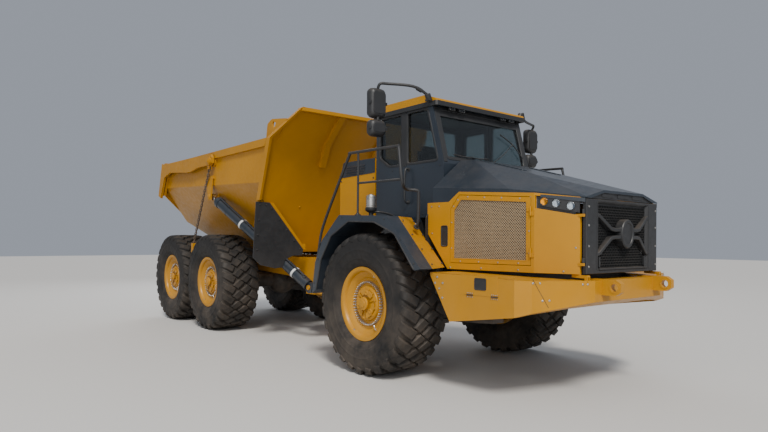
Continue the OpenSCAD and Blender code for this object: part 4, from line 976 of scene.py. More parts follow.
def makeCab(s):
    near, far, front = facingSide(-1, s["half"]), facingSide(1, s["half"]), onWindscreen(s)
    bm = newShape()
    addRubber(bm, s["frontWindow"], near)
    addRubber(bm, s["rearWindow"], near)
    addRubber(bm, s["frontWindow"], far)
    addRubber(bm, s["screen"], front, 0.030, 0.016)
    addRubber(bm, s["back"], lambda u, d, v: at(-0.67 - d, u, v))
    # dark band across the top of the windscreen, painted shade for the shaded roof underside seen through the glass,
    # and a post cover at each front corner
    addPlate(bm, rectangle(-0.80, 3.43, 0.80, 3.54), front, -0.012, 0.003)
    for k in (-1, 1):
        addPlate(bm, rectangle(k * 0.885, 2.80, k * 0.825, 3.58), front, -0.004, 0.008)
        addPlate(bm, rectangle(-0.092, 2.80, 0.002, 3.57), near if k < 0 else far, -0.004, 0.007)
    finishPiece(bm, "cabRubbersAndShadeBand", "front_frame", "moldedBlack", 0.002)
    bm = newShape()
    addRubber(bm, s["doorWindow"], far, 0.016, 0.012, -0.024, 0.006)
    finishPiece(bm, "doorRubber", "cab_door", "moldedBlack")
    # roof skirt, and the lining under the roof, black as painted shade for the shaded roof underside seen through the
    # glass
    bm = newShape()
    plan, up = s["skirt"], facingUp(s["roofLow"])
    addRing(bm, plan, insetOutline(plan, 0.028), up, -0.045, 0.018)
    addPlate(bm, insetOutline(plan, 0.012), up, -0.010, -0.0006)
    finishPiece(bm, "roofSkirtAndShadeLining", "front_frame", "moldedBlack", 0.003)
    # ribs pressed into the roof panel
    bm = newShape()
    for y in (-0.60, -0.20, 0.20, 0.60):
        addPanel(bm, (-0.56, y - 0.05, 0.30, y + 0.05), 0.03, facingUp(3.72), -0.002, 0.008)
    finishPiece(bm, "roofRibs", "front_frame", "yellowPaint", 0.004)
    # work lights under the front of the roof
    bm, lens = newShape(), newShape()
    for y in s["lights"]:
        ahead = facingFront(0.612)
        line = roundOutline(rectangle(y - 0.055, 3.515, y + 0.055, 3.590), 0.012)
        addSteps(bm, line, ahead, s["lightSteps"])
        addBlock(bm, at(0.55, y - 0.02, 3.588), at(0.60, y + 0.02, 3.60))
        addPlate(lens, insetOutline(line, 0.009), ahead, -0.007, -0.003)
    finishPiece(bm, "roofLights", "front_frame", "moldedBlack", 0.001)
    finishPiece(lens, "roofLightLenses", "front_frame", "lensClear", 0.001)
    # wiper: motor cap, arm and blade
    bm = newShape()
    lean = 0.262
    cap = [(0.028, -0.02), (0.028, 0.012), (0.018, 0.020)]
    addTurned(bm, cap, front(*s["wiper"][0][0]), (math.cos(lean), 0, math.sin(lean)), 16)
    for kind, path in zip(("arm", "blade", "blade", "arm"), s["wiper"]):
        radius, count = {"arm": (0.007, 8), "blade": (0.009, 6)}[kind]
        addPipe(bm, smoothRun([front(*p) for p in path], 5), radius, count)
    finishPiece(bm, "wipers", "front_frame", "moldedBlack")
    # door furniture and a grab handle by it
    bm = newShape()
    addPanel(bm, (-0.20, 2.52, -0.10, 2.66), 0.02, far, -0.004, 0.012)
    addPipe(bm, smoothRun([far(-0.185, 0.01, 2.54), far(-0.185, 0.038, 2.56), far(-0.185, 0.038, 2.62),
                           far(-0.185, 0.01, 2.645)], 4), 0.008, 8)
    finishPiece(bm, "doorHandle", "cab_door", "moldedBlack", 0.003)
    bm = newShape()
    for side, place in ((-1, near), (1, far)):
        addPipe(bm, smoothRun([place(0.05, 0.0, 2.30), place(0.05, 0.07, 2.33), place(0.05, 0.07, 2.72),
                               place(0.05, 0.0, 2.75)], 5), 0.014, 10)
        for z in (2.30, 2.75):
            q = place(0.05, 0.0, z)
            addScrew(bm, 0.030, 0.006, 0.020, 0.009, q, (0, side, 0), 14)
    finishPiece(bm, "cabGrabRails", "front_frame", "moldedBlack")
    # screws on the lower cab side
    bm = newShape()
    for x in (-0.62, -0.30, 0.02, 0.34, 0.66):
        for z in (2.13, 2.76):
            base, out = near(x, 0, z), near(x, 1, z)
            addScrew(bm, 0.010, 0.004, 0.006, 0.006, base, out - base, 10)
    finishPiece(bm, "cabScrews", "front_frame", "moldedBlack")


makeCab(cabShape)
print("cab dressed")

# seat, dash, steering wheel and consoles, in place of the plain ones
seatShape = {"floor": 2.12, "cushion": ((-0.22, 0.0, 2.455), (0.25, 0.26, 0.072)),
             "back": ((-0.452, 0.0, 2.83), (0.060, 0.235, 0.31), -8.5),
             "head": ((-0.505, 0.0, 3.15), (0.045, 0.13, 0.075), -8.5)}


def addPad(bm, centre, half, tilt=0.0, crown=0.012, seams=(), power=4.5, cuts=14, face=2):
    # a stuffed form: a round-cornered block, crowned on one axis, with sewn channels pulled in across y
    grid = {}
    seamWide = 0.009

    def corner(p):
        key = tuple(round(c, 5) for c in p)
        if key not in grid:
            v = Vector(p)
            q = v / (sum(abs(c) ** power for c in v) ** (1 / power))
            others = [k for k in (0, 1, 2) if k != face]
            swell = crown * (1 - q[others[0]] ** 2) * (1 - q[others[1]] ** 2)
            w = Vector((q.x * half[0], q.y * half[1], q.z * half[2]))
            w[face] += math.copysign(swell, q[face]) * (1.0 if q[face] > 0 else 0.2)
            across = 0 if face == 2 else 2
            for place, deep in seams:
                if q[face] > 0:
                    w[face] -= deep * math.exp(-((q[across] - place) * half[across] / seamWide) ** 2)
            # sides pull in between the corners
            w.y *= 1 - 0.03 * (1 - q[across] ** 2)
            w = Matrix.Rotation(math.radians(tilt), 3, "Y") @ w
            grid[key] = bm.verts.new(Vector(centre) + w)
        return grid[key]
    for axis in range(3):
        for sign in (-1, 1):
            for i in range(cuts):
                for j in range(cuts):
                    quad = []
                    for a, b in ((i, j), (i + 1, j), (i + 1, j + 1), (i, j + 1)):
                        p = [0.0, 0.0, 0.0]
                        p[axis], p[(axis + 1) % 3], p[(axis + 2) % 3] = sign, 2 * a / cuts - 1, 2 * b / cuts - 1
                        quad.append(corner(p))
                    bm.faces.new(quad)


def makeSeat(s):
    pads = [("seatCushion", s["cushion"] + (0.0,), 0.020, ((-0.45, 0.006), (0.05, 0.006), (0.5, 0.006)), 2),
            ("seatBack", s["back"], 0.022, ((-0.5, 0.006), (-0.1, 0.006), (0.3, 0.006)), 0),
            ("seatHeadrest", s["head"], 0.012, (), 0)]
    first = None
    for name, (centre, half, tilt), crown, seams, face in pads:
        bm = newShape()
        addPad(bm, at(*centre), half, tilt, crown, seams, face=face)
        o = finishPiece(bm, name, "front_frame", "seatCloth")
        first = first or o
    for k in (-1, 1):
        bm = newShape()
        addPad(bm, at(-0.26, k * 0.31, 2.68), (0.15, 0.032, 0.024), 0.0, 0.006, cuts=8)
        o = finishPiece(bm, "seatArmrest_" + ("l" if k > 0 else "r"), "front_frame", "moldedBlack")
    bm = newShape()
    f = s["floor"]
    # base: rails, folded bellows and a tray under the cushion
    addBlock(bm, at(-0.42, -0.22, f), at(-0.10, 0.22, f + 0.03))
    for j in range(5):
        g = 0.012 if j % 2 else 0.0
        addPlate(bm, roundOutline(rectangle(-0.40 + g, -0.20 + g, -0.08 - g, 0.20 - g), 0.03),
                 facingUp(f), 0.03 + j * 0.04, 0.07 + j * 0.04)
    addPanel(bm, (-0.45, -0.24, 0.01, 0.24), 0.04, facingUp(f), 0.23, 0.272)
    # back shell, arm brackets
    addPlate(bm, [(-0.475, 2.42), (-0.40, 2.42), (-0.50, 3.14), (-0.545, 3.14)], facingSide(1, 0.0), -0.20, 0.20)
    for k in (-1, 1):
        addPipe(bm, smoothRun([at(-0.46, k * 0.245, 2.62), at(-0.43, k * 0.30, 2.65), at(-0.34, k * 0.31, 2.665)], 3),
                0.014, 8)
    # dash with a hooded binnacle
    dash = [(0.43, f), (0.43, f + 0.52), (0.45, f + 0.57), (0.50, f + 0.63), (0.555, f + 0.69), (0.60, f + 0.695),
            (0.665, f + 0.62), (0.67, f + 0.50), (0.67, f)]
    addPlate(bm, dash, facingSide(1, 0.0), -0.70, 0.70)
    addPlate(bm, [(0.43, f + 0.60), (0.40, f + 0.70), (0.45, f + 0.755), (0.58, f + 0.73), (0.60, f + 0.66)],
             facingSide(1, 0.0), -0.21, 0.21)
    # right-hand console with a selector and switch row
    addPanel(bm, (-0.50, -0.62, 0.12, -0.40), 0.04, facingUp(f), 0.0, 0.46)
    addPipe(bm, smoothRun([at(0.02, -0.50, f + 0.45), at(0.03, -0.50, f + 0.54), at(0.02, -0.50, f + 0.60)], 3),
            0.010, 8)
    addTurned(bm, [(0.010, 0), (0.026, 0.014), (0.028, 0.034), (0.018, 0.050)], at(0.02, -0.50, f + 0.59), (0, 0, 1),
              14)
    for j in range(6):
        addBlock(bm, at(-0.42 + j * 0.06, -0.46, f + 0.459), at(-0.385 + j * 0.06, -0.42, f + 0.470))
    # pedals
    for y in (-0.16, 0.10):
        addPlate(bm, [(0.30, f + 0.02), (0.32, f + 0.01), (0.40, f + 0.16), (0.38, f + 0.17)], facingSide(1, y), 0.0,
                 0.09)
    o = finishPiece(bm, "cabFittings", "front_frame", "moldedBlack", 0.003)
    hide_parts("cab_interior")
    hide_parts("cab_interior")
    # steering column and wheel
    bm = newShape()
    hub, t = at(0.235, 0, f + 0.695), math.radians(-48)
    axis = Vector((math.sin(t), 0, math.cos(t)))
    addPipe(bm, [at(0.47, 0, f + 0.48), hub - axis * 0.02], 0.032, 14)
    ring = [(0.2 + 0.017 * math.cos(a), 0.017 * math.sin(a)) for a in anglesOf(10)]
    addTurned(bm, ring, hub, axis, 40, closed=True)
    addTurned(bm, [(0.050, -0.018), (0.052, 0.004), (0.044, 0.016), (0.020, 0.020)], hub, axis, 24)
    side, other = Vector((0, 1, 0)), axis.cross(Vector((0, 1, 0)))
    for a in (90, 210, 330):
        d = side * math.cos(math.radians(a)) + other * math.sin(math.radians(a))
        addPipe(bm, [hub + d * 0.04, hub + d * 0.12 - axis * 0.006, hub + d * 0.195], 0.011, 8)
    finishPiece(bm, "steeringWheel", "front_frame", "moldedBlack")


makeSeat(seatShape)
print("cab interior built")

# mirrors: reflecting faces and clamps; feet of the handrails
mirrorShape = {"heads": [(0.150, -1.55, 3.12, 3.34), (0.150, -1.55, 3.36, 3.75), (0.170, 1.655, 2.97, 3.19),
                         (0.170, 1.655, 3.21, 3.60)],
               "loft": [(0.012, -0.052), (0.002, -0.046), (0.0, -0.010), (0.006, 0.022), (0.020, 0.044),
                        (0.042, 0.057), (0.070, 0.062)],
               "arms": [(-1, 0.150, -1.55, 3.75), (1, 0.170, 1.655, 3.60)], "arm": 0.019,
               "railFeet": [(-0.066, 2.096)]}


def makeMirrors(s):
    glass, trim = newShape(), newShape()
    for x, y, z0, z1 in s["heads"]:
        back = lambda u, d, v: at(x - 0.05 - d, y + u, v)
        line = roundOutline(rectangle(-0.118, z0 + 0.030, 0.118, z1 - 0.030), 0.035)
        addPlate(glass, insetOutline(line, 0.006), back, -0.001, 0.0022)
        addRing(trim, insetOutline(line, -0.006), insetOutline(line, 0.005), back, -0.002, 0.005)
        # moulded shell edge on the front
        front = lambda u, d, v: at(x + 0.058 + d, y + u, v)
        addPanel(trim, (-0.10, z0 + 0.055, 0.10, z1 - 0.055), 0.04, front, -0.002, 0.007)
        for k in (-1, 1):
            addBlock(trim, at(x + 0.010, y + k * 0.134 - 0.006, (z0 + z1) / 2 - 0.02),
                     at(x + 0.046, y + k * 0.134 + 0.006, (z0 + z1) / 2 + 0.02))
    finishPiece(glass, "mirrorGlasses", "front_frame", "mirrorSilver")
    finishPiece(trim, "mirrorTrims", "front_frame", "moldedBlack", 0.003)
    bm = newShape()
    for side in (-1, 1):
        for x, z in s["railFeet"]:
            addTurned(bm, [(0.042, -0.004), (0.042, 0.008), (0.026, 0.012), (0.022, 0.03)], at(x, side * 1.69, z),
                      (0, 0, 1), 16)
            for a in (0, 90, 180, 270):
                t = math.radians(a + 45)
                addTurned(bm, [(0.006, 0.007), (0.006, 0.014)],
                          at(x + 0.032 * math.cos(t), side * 1.69 + 0.032 * math.sin(t), z), (0, 0, 1), 6)
    finishPiece(bm, "railFeet", "front_frame", "moldedBlack")


makeMirrors(mirrorShape)
print("mirrors and rails dressed")


# bumper: drop-down step flap with its pocket, the joint to the front beam, bolts
bumperShape = {"half": 1.50, "flap": rectangle(1.605, 1.175, 2.143, 1.386),
               "pocket": rectangle(1.83, 1.244, 1.98, 1.356),
               "hinges": [1.755, 2.104], "rearBolts": [(1.24, 1.345), (1.33, 1.28), (1.275, 1.215), (1.205, 1.275),
                                                       (1.325, 1.11)],
               "joint": [(0.012, 1.379), (0.195, 1.086)],
               "pocketSteps": [(-0.010, 0.0035), (-0.010, 0.008), (-0.004, 0.010), (0.004, 0.006), (0.008, -0.050),
                               (0.010, -0.052)],
               "beam": [(2.50, 1.40), (2.79, 0.71)], "beamBolts": [1.16, 1.34], "cornerBolts": [0.60, 0.66],
               "lip": {"from": 1.125, "to": 2.356, "y": 1.494, "wide": 0.026, "z": 1.3945, "thick": 0.004},
               "towEyes": {"x": 2.935, "y": 0.55, "z": 1.285, "half": 0.035}}


def alongPlan(side, a, b):
    # upright plane over the plan line a to b: u from a, depth outward
    run = (Vector(b) - Vector(a)).normalized()
    return lambda u, d, v: at(a[0] + run.x * u - run.y * d, side * (a[1] + run.y * u + run.x * d), v)


def makeBumperParts(s):
    for name, side in sides.items():
        wing = facingSide(side, s["half"])
        bm = newShape()
        # flap as a frame round the pocket, so that the pocket stays open
        addRing(bm, s["flap"], s["pocket"], wing, -0.002, 0.004)
        finishPiece(bm, "bumperFlap_" + name, "front_frame", "yellowPaint", 0.0015)
        bm = newShape()
        addSteps(bm, roundOutline(s["pocket"], 0.012), wing, s["pocketSteps"])
        (grip0, _), _, (grip1, gripTop), _ = s["pocket"]
        addPipe(bm, [wing(u, -0.012, gripTop - 0.035) for u in (grip0 + 0.03, grip1 - 0.03)], 0.009, 8)
        # hinges of the flap, and the dark line of the joint to the front beam
        z0 = s["flap"][0][1]
        for x in s["hinges"]:
            addPipe(bm, [wing(x - 0.045, 0.008, z0), wing(x + 0.045, 0.008, z0)], 0.007, 8)
        face = alongPlan(side, *s["beam"])
        (u0, v0), (u1, v1) = s["joint"]
        addPlate(bm, [(u0 - 0.003, v0), (u0 + 0.004, v0), (u1 + 0.004, v1), (u1 - 0.003, v1)], face, -0.001, 0.0008)
        finishPiece(bm, "bumperPocket_" + name, "front_frame", "moldedBlack", 0.0008)
        bm = newShape()
        out = Vector((0, side, 0))
        for x, z in s["rearBolts"]:
            addBolt(bm, wing(x, 0, z), out, 0.022, 0.010)
        for x in s["hinges"]:
            for k in (-0.036, -0.012, 0.012, 0.036):
                for dz in (-0.022, 0.020):
                    addScrew(bm, 0.006, 0.005, 0.004, 0.0065, wing(x + k, 0.004 if dz > 0 else 0, z0 + dz), out, 8)
        beamBolts = [(0.05 + (1.379 - v) * 0.62 + du, v) for v in s["beamBolts"] for du in (-0.06, 0.02)]
        for u, v in beamBolts + [(u, 1.32) for u in s["cornerBolts"]]:
            q = face(u, 0, v)
            addBolt(bm, q, face(u, 1, v) - q, 0.018, 0.008)
        finishPiece(bm, "bumperBolts_" + name, "front_frame", "zincSteel")
        # folded lip along the top edge of the bumper
        bm = newShape()
        lip = s["lip"]
        line = rectangle(lip["from"], lip["y"], lip["to"], lip["y"] - lip["wide"])
        addPrism(bm, [at(x, side * y, lip["z"]) for x, y in line], (0, 0, lip["thick"]))
        finishPiece(bm, "bumperLip_" + name, "front_frame", "yellowPaint", 0.001)
    # washers and bolts of the towing eyes
    bm = newShape()
    eye = s["towEyes"]
    for y in (-eye["y"], eye["y"]):
        for side in (-1, 1):
            addTurned(bm, [(0.058, -0.001), (0.058, 0.005), (0.041, 0.005), (0.041, -0.001)],
                      at(eye["x"], y + side * eye["half"], eye["z"]), (0, side, 0), 28, closed=True)
    finishPiece(bm, "towEyeRings", "front_frame", "yellowPaint")


makeBumperParts(bumperShape)
print("bumper dressed")

# hood: handle pockets, panel screws, raised pads
hoodShape = {"pocket": rectangle(0.900, 1.705, 0.990, 1.950),
             "pocketSteps": [(-0.010, -0.002), (-0.010, 0.004), (-0.003, 0.006), (0.004, 0.003), (0.007, -0.010),
                             (0.010, -0.0105)],
             "screws": [(0.75, 1.86), (0.74, 2.20), (0.86, 2.20), (1.04, 1.44), (1.5, 1.445), (2.0, 1.445),
                        (2.5, 1.445), (2.62, 1.70)]}


def makeHoodParts(s):
    for name, side in sides.items():
        skew = math.atan2(hoodHalf(0.7) - hoodHalf(2.2), 1.5)
        place = lambda u, d, v: at(u + d * math.sin(skew), side * (hoodHalf(u) + d * math.cos(skew)), v)
        bm = newShape()
        addSteps(bm, roundOutline(s["pocket"], 0.018), place, s["pocketSteps"])
        addPanel(bm, (0.918, 1.76, 0.972, 1.90), 0.012, place, -0.009, 0.001)
        finishPiece(bm, "panelHandle_" + name, "hood", "moldedBlack", 0.001)
        bm = newShape()
        nose, turn = alongHood(side, 2.2, 2.72), math.atan2(0.192, 0.52)
        for x, z in s["screws"]:
            q = place(x, 0, z) if x < 2.2 else nose((x - 2.72) / math.cos(turn), 0, z)
            addScrew(bm, 0.011, 0.004, 0.007, 0.006, q, (0.1, side, 0), 10)
        finishPiece(bm, "panelScrews_" + name, "hood", "zincSteel")
    # raised pads over the top of the hood
    bm = newShape()
    for y in (-0.36, 0.36):
        addPlate(bm, roundOutline(rectangle(1.15, y - 0.05, 1.62, y + 0.05), 0.03),
                 lambda u, d, v: at(u, v, 2.820 - (u - 0.98) * 0.2809 + d), -0.003, 0.012)
    finishPiece(bm, "hoodPads", "hood", "slatePaint", 0.004)


makeHoodParts(hoodShape)
print("hood dressed")

# fender: precleaner bowl on its bracket, bead round the arch, screws
fenderShape = {"bowl": (-0.155, -1.40), "top": 2.092,
               "arch": [(1.110, 1.420), (0.750, 1.850), (0.350, 2.000), (-0.200, 2.020), (-0.600, 1.830),
                        (-0.850, 1.500), (-0.980, 1.060)],
               "lipScrews": [(1.10, 1.50), (0.86, 1.78), (0.55, 2.03), (0.10, 2.055), (-0.35, 2.07), (-0.70, 1.84),
                             (-0.93, 1.50), (-1.02, 1.15)],
               "strip": [(0.60, 2.07), (1.22, 1.44)]}


def makeFenderParts(s):
    x, y = s["bowl"]
    z = s["top"]
    bm = newShape()
    addBlock(bm, at(x - 0.09, y - 0.07, z - 0.004), at(x + 0.09, y + 0.07, z + 0.008))
    addTurned(bm, [(0.030, 0.0), (0.030, 0.05), (0.072, 0.075), (0.078, 0.085), (0.078, 0.115), (0.070, 0.125)],
              at(x, y, z), (0, 0, 1), 24)
    addPipe(bm, smoothRun([at(x + 0.02, y + 0.02, z + 0.05), at(x + 0.10, y + 0.05, z + 0.06),
                           at(x + 0.14, y + 0.22, z + 0.03), at(x + 0.14, y + 0.34, z - 0.02)], 5), 0.014, 10)
    finishPiece(bm, "bowlBracket", "front_frame", "moldedBlack", 0.002)
    bm = newShape()
    addTurned(bm, [(0.064, 0.120), (0.066, 0.130), (0.066, 0.265), (0.060, 0.285), (0.030, 0.292), (0.028, 0.300)],
              at(x, y, z), (0, 0, 1), 28)
    for h in (0.15, 0.25):
        addTurned(bm, [(0.066, h), (0.0685, h + 0.002), (0.0685, h + 0.010), (0.066, h + 0.012)], at(x, y, z),
                  (0, 0, 1), 28)
    finishPiece(bm, "bowl", "front_frame", "zincSteel")
    # rubber bead round the wheel arch, and bolts through the lip
    for name, side in sides.items():
        bm = newShape()
        path = []
        for a, b in zip(s["arch"], s["arch"][1:]):
            for t in (0.03, 0.35, 0.65, 0.97):
                path.append(at(a[0] + (b[0] - a[0]) * t, side * 1.746, a[1] + (b[1] - a[1]) * t))
        addPipe(bm, path, 0.011, 8)
        finishPiece(bm, "archBead_" + name, "front_frame", "moldedBlack")
        bm = newShape()
        out = Vector((0, side, 0))
        for x0, z0 in s["lipScrews"]:
            addScrew(bm, 0.013, 0.004, 0.008, 0.007, at(x0, side * 1.75, z0), out, 10)
        # bolts down the yellow strip
        for t in (0.08, 0.36, 0.64, 0.92):
            q = Vector(s["strip"][0]).lerp(Vector(s["strip"][1]), t)
            for y1, dx in ((1.52, 0), (1.17, -0.20)):
                addScrew(bm, 0.012, 0.004, 0.007, 0.006, at(q.x + dx * 0.96, side * y1, q.y), (0.70, 0, 0.71), 10)
        finishPiece(bm, "fenderScrews_" + name, "front_frame", "moldedBlack")


makeFenderParts(fenderShape)
print("fenders dressed")

# hoist: bands, gland, hard line with clamps, wiper ring, pin caps
hoistShape = {"foot": (-2.45, 0.90, 0.955), "eye": (-4.913, 1.60, 2.600), "radius": 0.095, "bands": [0.44, 2.03],
              "end": 2.85,
              "line": [(0.26, 0.004), (0.27, 0.030), (0.40, 0.032), (2.60, 0.032), (2.74, 0.030), (2.76, 0.004)],
              "clamps": [0.62, 1.25, 1.88, 2.50]}


def makeHoistParts(s):
    for name, side in sides.items():
        foot, eye = atSide(side, s["foot"]), atSide(side, s["eye"])
        v = (eye - foot).normalized()
        out = Vector((0, side, 0))
        out = (out - v * out.dot(v)).normalized()
        top = v.cross(out) * side
        top = top if top.z > 0 else -top
        r = s["radius"]
        body = "hoist_barrel_" + name
        bm = newShape()
        for t in s["bands"]:
            addTurned(bm, [(r - 0.002, -0.022), (r + 0.006, -0.020), (r + 0.006, 0.020), (r - 0.002, 0.022)],
                      foot + v * t, v, 32)
        finishPiece(bm, "hoistBands_" + name, body, "bandWhite", 0.001)
        bm = newShape()
        addTurned(bm, [(r - 0.002, -0.075), (r + 0.012, -0.070), (r + 0.012, -0.004), (r + 0.006, 0.002),
                       (0.080, 0.003), (0.0765, 0.0)], foot + v * s["end"], v, 32)
        for a in anglesOf(8):
            d = out * math.cos(a) + top * math.sin(a)
            addTurned(bm, [(0.006, -0.001), (0.006, 0.006)], foot + v * (s["end"] + 0.001) + d * 0.092, v, 6)
        # hard line along the barrel, from a block near the foot to the gland
        side0 = out * 0.3 + top
        side0.normalize()
        path = [foot + v * t + side0 * (r + rise) for t, rise in s["line"]]
        addPipe(bm, smoothRun(path, 4), 0.012, 8)
        for t in s["clamps"]:
            q = foot + v * t
            addTurned(bm, [(r - 0.001, -0.016), (r + 0.004, -0.015), (r + 0.004, 0.015), (r - 0.001, 0.016)], q, v,
                      28)
            addPipe(bm, [q + side0 * (r + 0.002), q + side0 * (r + 0.048)], 0.017, 8)
        addTurned(bm, [(0.034, 0.0), (0.034, 0.02), (0.024, 0.03)], foot + v * 0.20 + side0 * (r - 0.006), side0, 12)
        finishPiece(bm, "hoistFittings_" + name, body, "slatePaint", 0.001)
        # wiper ring of each stage
        bm = newShape()
        addTurned(bm, [(0.074, -0.050), (0.079, -0.046), (0.079, 0.002), (0.0755, 0.006), (0.056, 0.006),
                       (0.0555, -0.004)], foot + v * 2.90, v, 32)
        finishPiece(bm, "hoistRing_" + name, "hoist_stage_" + name, "slatePaint", 0.001)
        # pin caps on the bed's bracket
        bm = newShape()
        for k in (-1, 1):
            q = at(s["eye"][0], side * (s["eye"][1] + k * 0.090), s["eye"][2])
            addTurned(bm, [(0.050, -0.001), (0.050, 0.010), (0.040, 0.014), (0.018, 0.014), (0.018, 0.020)], q,
                      (0, side * k, 0), 24)
        finishPiece(bm, "hoistPinCaps_" + name, "bed", "bedPaint", 0.001)


makeHoistParts(hoistShape)
print("hoist dressed")

# tailgate chains: steel links between the arm's ear and the outrigger
chainShape = {"top": (-4.76, 1.745, 3.15), "foot": (-6.00, 1.56, 1.70), "pitch": 0.062, "wire": 0.0085, "wide": 0.019,
              "long": 0.040}


def makeChains(s):
    bm = newShape()
    for side in (-1, 1):
        a, b = atSide(side, s["top"]), atSide(side, s["foot"])
        v = (b - a).normalized()
        side0 = v.cross(Vector((0, 1, 0))).normalized()
        side1 = v.cross(side0)
        count = round((b - a).length / s["pitch"]) - 1
        step = (b - a).length / (count + 1)
        for k in range(count):
            c = a + v * step * (k + 1)
            across = side0 if k % 2 else side1
            loop = []
            n = 12
            straight = s["long"] - s["wide"]
            for t in anglesOf(n):
                ahead = math.copysign(straight, math.cos(t)) * (abs(math.cos(t)) > 0.01) + s["wide"] * math.cos(t)
                loop.append(c + v * ahead + across * s["wide"] * math.sin(t))
            rings = []
            normal = v.cross(across).normalized()
            for j, p in enumerate(loop):
                run = (loop[(j + 1) % n] - loop[j - 1]).normalized()
                flat = run.cross(normal)
                rings.append([p + (normal * math.cos(u) + flat * math.sin(u)) * s["wire"] for u in anglesOf(6)])
            addRings(bm, rings, closed=True)
        # shackle on the pin, and the foot's hook plate
        addTurned(bm, [(0.012, -0.039), (0.012, 0.034)], a, (0, side, 0), 14)
        addTurned(bm, [(0.020, -0.046), (0.020, -0.039)], a, (0, side, 0), 6)
        addPipe(bm, smoothRun([a, a + v * 0.03 + side0 * 0.016, a + v * 0.06], 3), 0.010, 8)
        addPipe(bm, [b - v * 0.070, b - v * 0.022], 0.016, 10)
        addTurned(bm, [(0.026, 0.0), (0.026, 0.008)], b - v * 0.026, v, 6)
    o = finishPiece(bm, "tailgateChainLinks", "chains", "chainSteel")
    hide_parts("tailgate_chains")


makeChains(chainShape)
print("chains built")


def makeMirrorHeads(m):
    # rounded heads on a bent arm, clamped at the roof's front corner
    bm = newShape()
    for x, y, z0, z1 in m["heads"]:
        line = roundOutline(rectangle(-0.128, z0, 0.128, z1), 0.075)
        addSteps(bm, line, lambda u, d, v: at(x + d, y + u, v), m["loft"])
    for side, x, y, top in m["arms"]:
        rise = top + 0.055
        path = [at(0.500, side * 0.925, 3.640), at(0.490, side * 0.985, 3.700), at(0.430, side * 1.17, rise - 0.02),
                at(0.26, y - side * 0.10, rise), at(x + 0.06, y, rise - 0.01), at(x + 0.015, y, top - 0.03)]
        addPipe(bm, smoothRun(path, 5), m["arm"], 12)
        addPipe(bm, [at(x + 0.02, y, top - 0.42), at(x + 0.02, y, top - 0.36)], 0.020, 12)
        # clamp on the roof's corner, and the sleeve at the arm's first bend
        addTurned(bm, [(0.030, -0.05), (0.040, -0.045), (0.040, 0.045), (0.030, 0.05)],
                  at(0.495, side * 0.955, 3.662), (0, side * 0.45, 0.89), 16)
        addBlock(bm, at(0.46, side * 0.955 - 0.03, 3.612), at(0.54, side * 0.955 + 0.03, 3.640))
        a, b = at(0.470, side * 1.05, 3.735), at(0.446, side * 1.12, rise - 0.038)
        addPipe(bm, [a, b], 0.027, 12)
    o = finishPiece(bm, "mirrorHeads", "front_frame", "moldedBlack", 0.003)
    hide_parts("mirrors")


makeMirrorHeads(mirrorShape)
print("mirror heads built")

# behind the cab: slate cover on the box, bolts, and the dark bulkhead under the hood
boxShape = {"low": 2.755, "front": -0.704, "half": 0.902,
            "screws": [(-1.56, 2.14), (-1.15, 2.14), (-0.74, 2.14), (-1.56, 2.70), (-0.74, 2.70), (-1.50, 2.80),
                       (-0.74, 2.80), (-0.74, 2.95), (-1.44, 2.95)]}


def makeBoxCover(s):
    # folded sheet over the upper part of the box
    bm = newShape()
    lowBack = -1.600 + (s["low"] - 2.700) * 0.100 / 0.290   # where the cover's lower edge meets the sloping back
    h = s["half"]
    side = [(lowBack - 0.003, s["low"]), (-1.603, 2.700), (-1.5025, 2.9925), (s["front"], 2.9925),
            (s["front"], s["low"] + 0.02)]
    inner = [(-1.599, s["low"]), (-1.599, 2.700), (-1.4995, 2.989), (s["front"], 2.989),
             (s["front"], s["low"] + 0.02)]
    for k in (-1, 1):
        addPlate(bm, side, facingSide(k, h), -0.003, 0.0035)
    for (a, b), (c, d) in zip(zip(side, side[1:4]), zip(inner, inner[1:4])):
        addPrism(bm, [at(a[0], -h, a[1]), at(b[0], -h, b[1]), at(d[0], -h, d[1]), at(c[0], -h, c[1])], (0, 2 * h, 0))
    # intake louvres in both sides
    for k in (-1, 1):
        for j in range(4):
            z = 2.79 + 0.036 * j
            addPrism(bm, [at(-1.42, k * h, z), at(-1.42, k * (h + 0.016), z + 0.004),
                          at(-1.42, k * (h + 0.003), z + 0.026)], (0.48, 0, 0))
    finishPiece(bm, "boxCover", "front_frame", "slatePaint", 0.002)
    bm = newShape()
    for k in (-1, 1):
        for x, z in s["screws"]:
            addScrew(bm, 0.012, 0.006, 0.008, 0.009, at(x, k * h, z), (0, k, 0), 6)
    finishPiece(bm, "boxScrews", "front_frame", "moldedBlack")
    bm = newShape()
    front = facingFront(0.672)
    outline = roundOutline([(-1.165, 1.425), (1.165, 1.425), (1.165, 2.06), (1.08, 2.16), (-1.08, 2.16),
                            (-1.165, 2.06)], 0.03)
    addPlate(bm, outline, front, 0.0, 0.010)
    for y in (-0.7, -0.35, 0.0, 0.35, 0.7):
        addPanel(bm, (y - 0.03, 1.50, y + 0.03, 2.08), 0.02, front, 0.008, 0.018)
    finishPiece(bm, "engineBulkhead", "front_frame", "frameBlack", 0.002)


makeBoxCover(boxShape)
print("box and bulkhead dressed")

# bed: flap bolts, drains and plugs of the headboard, gate pins, hinge caps
bedShape = {"flapBolts": [(1.62, 2.36), (1.50, 2.36), (1.40, 2.31), (1.25, 2.12), (1.10, 1.94), (0.95, 1.76),
                          (0.83, 1.61), (1.64, 2.10), (1.66, 1.85), (1.67, 1.60)],
            "gatePin": (-4.75, 3.27, 1.788), "hinge": (-7.30, 1.68, 0.56),
            "board": [(-3.340, 1.550), (-2.975, 2.440)],
            "drain": (1.565, 2.42), "plug": (0.80, 2.36)}


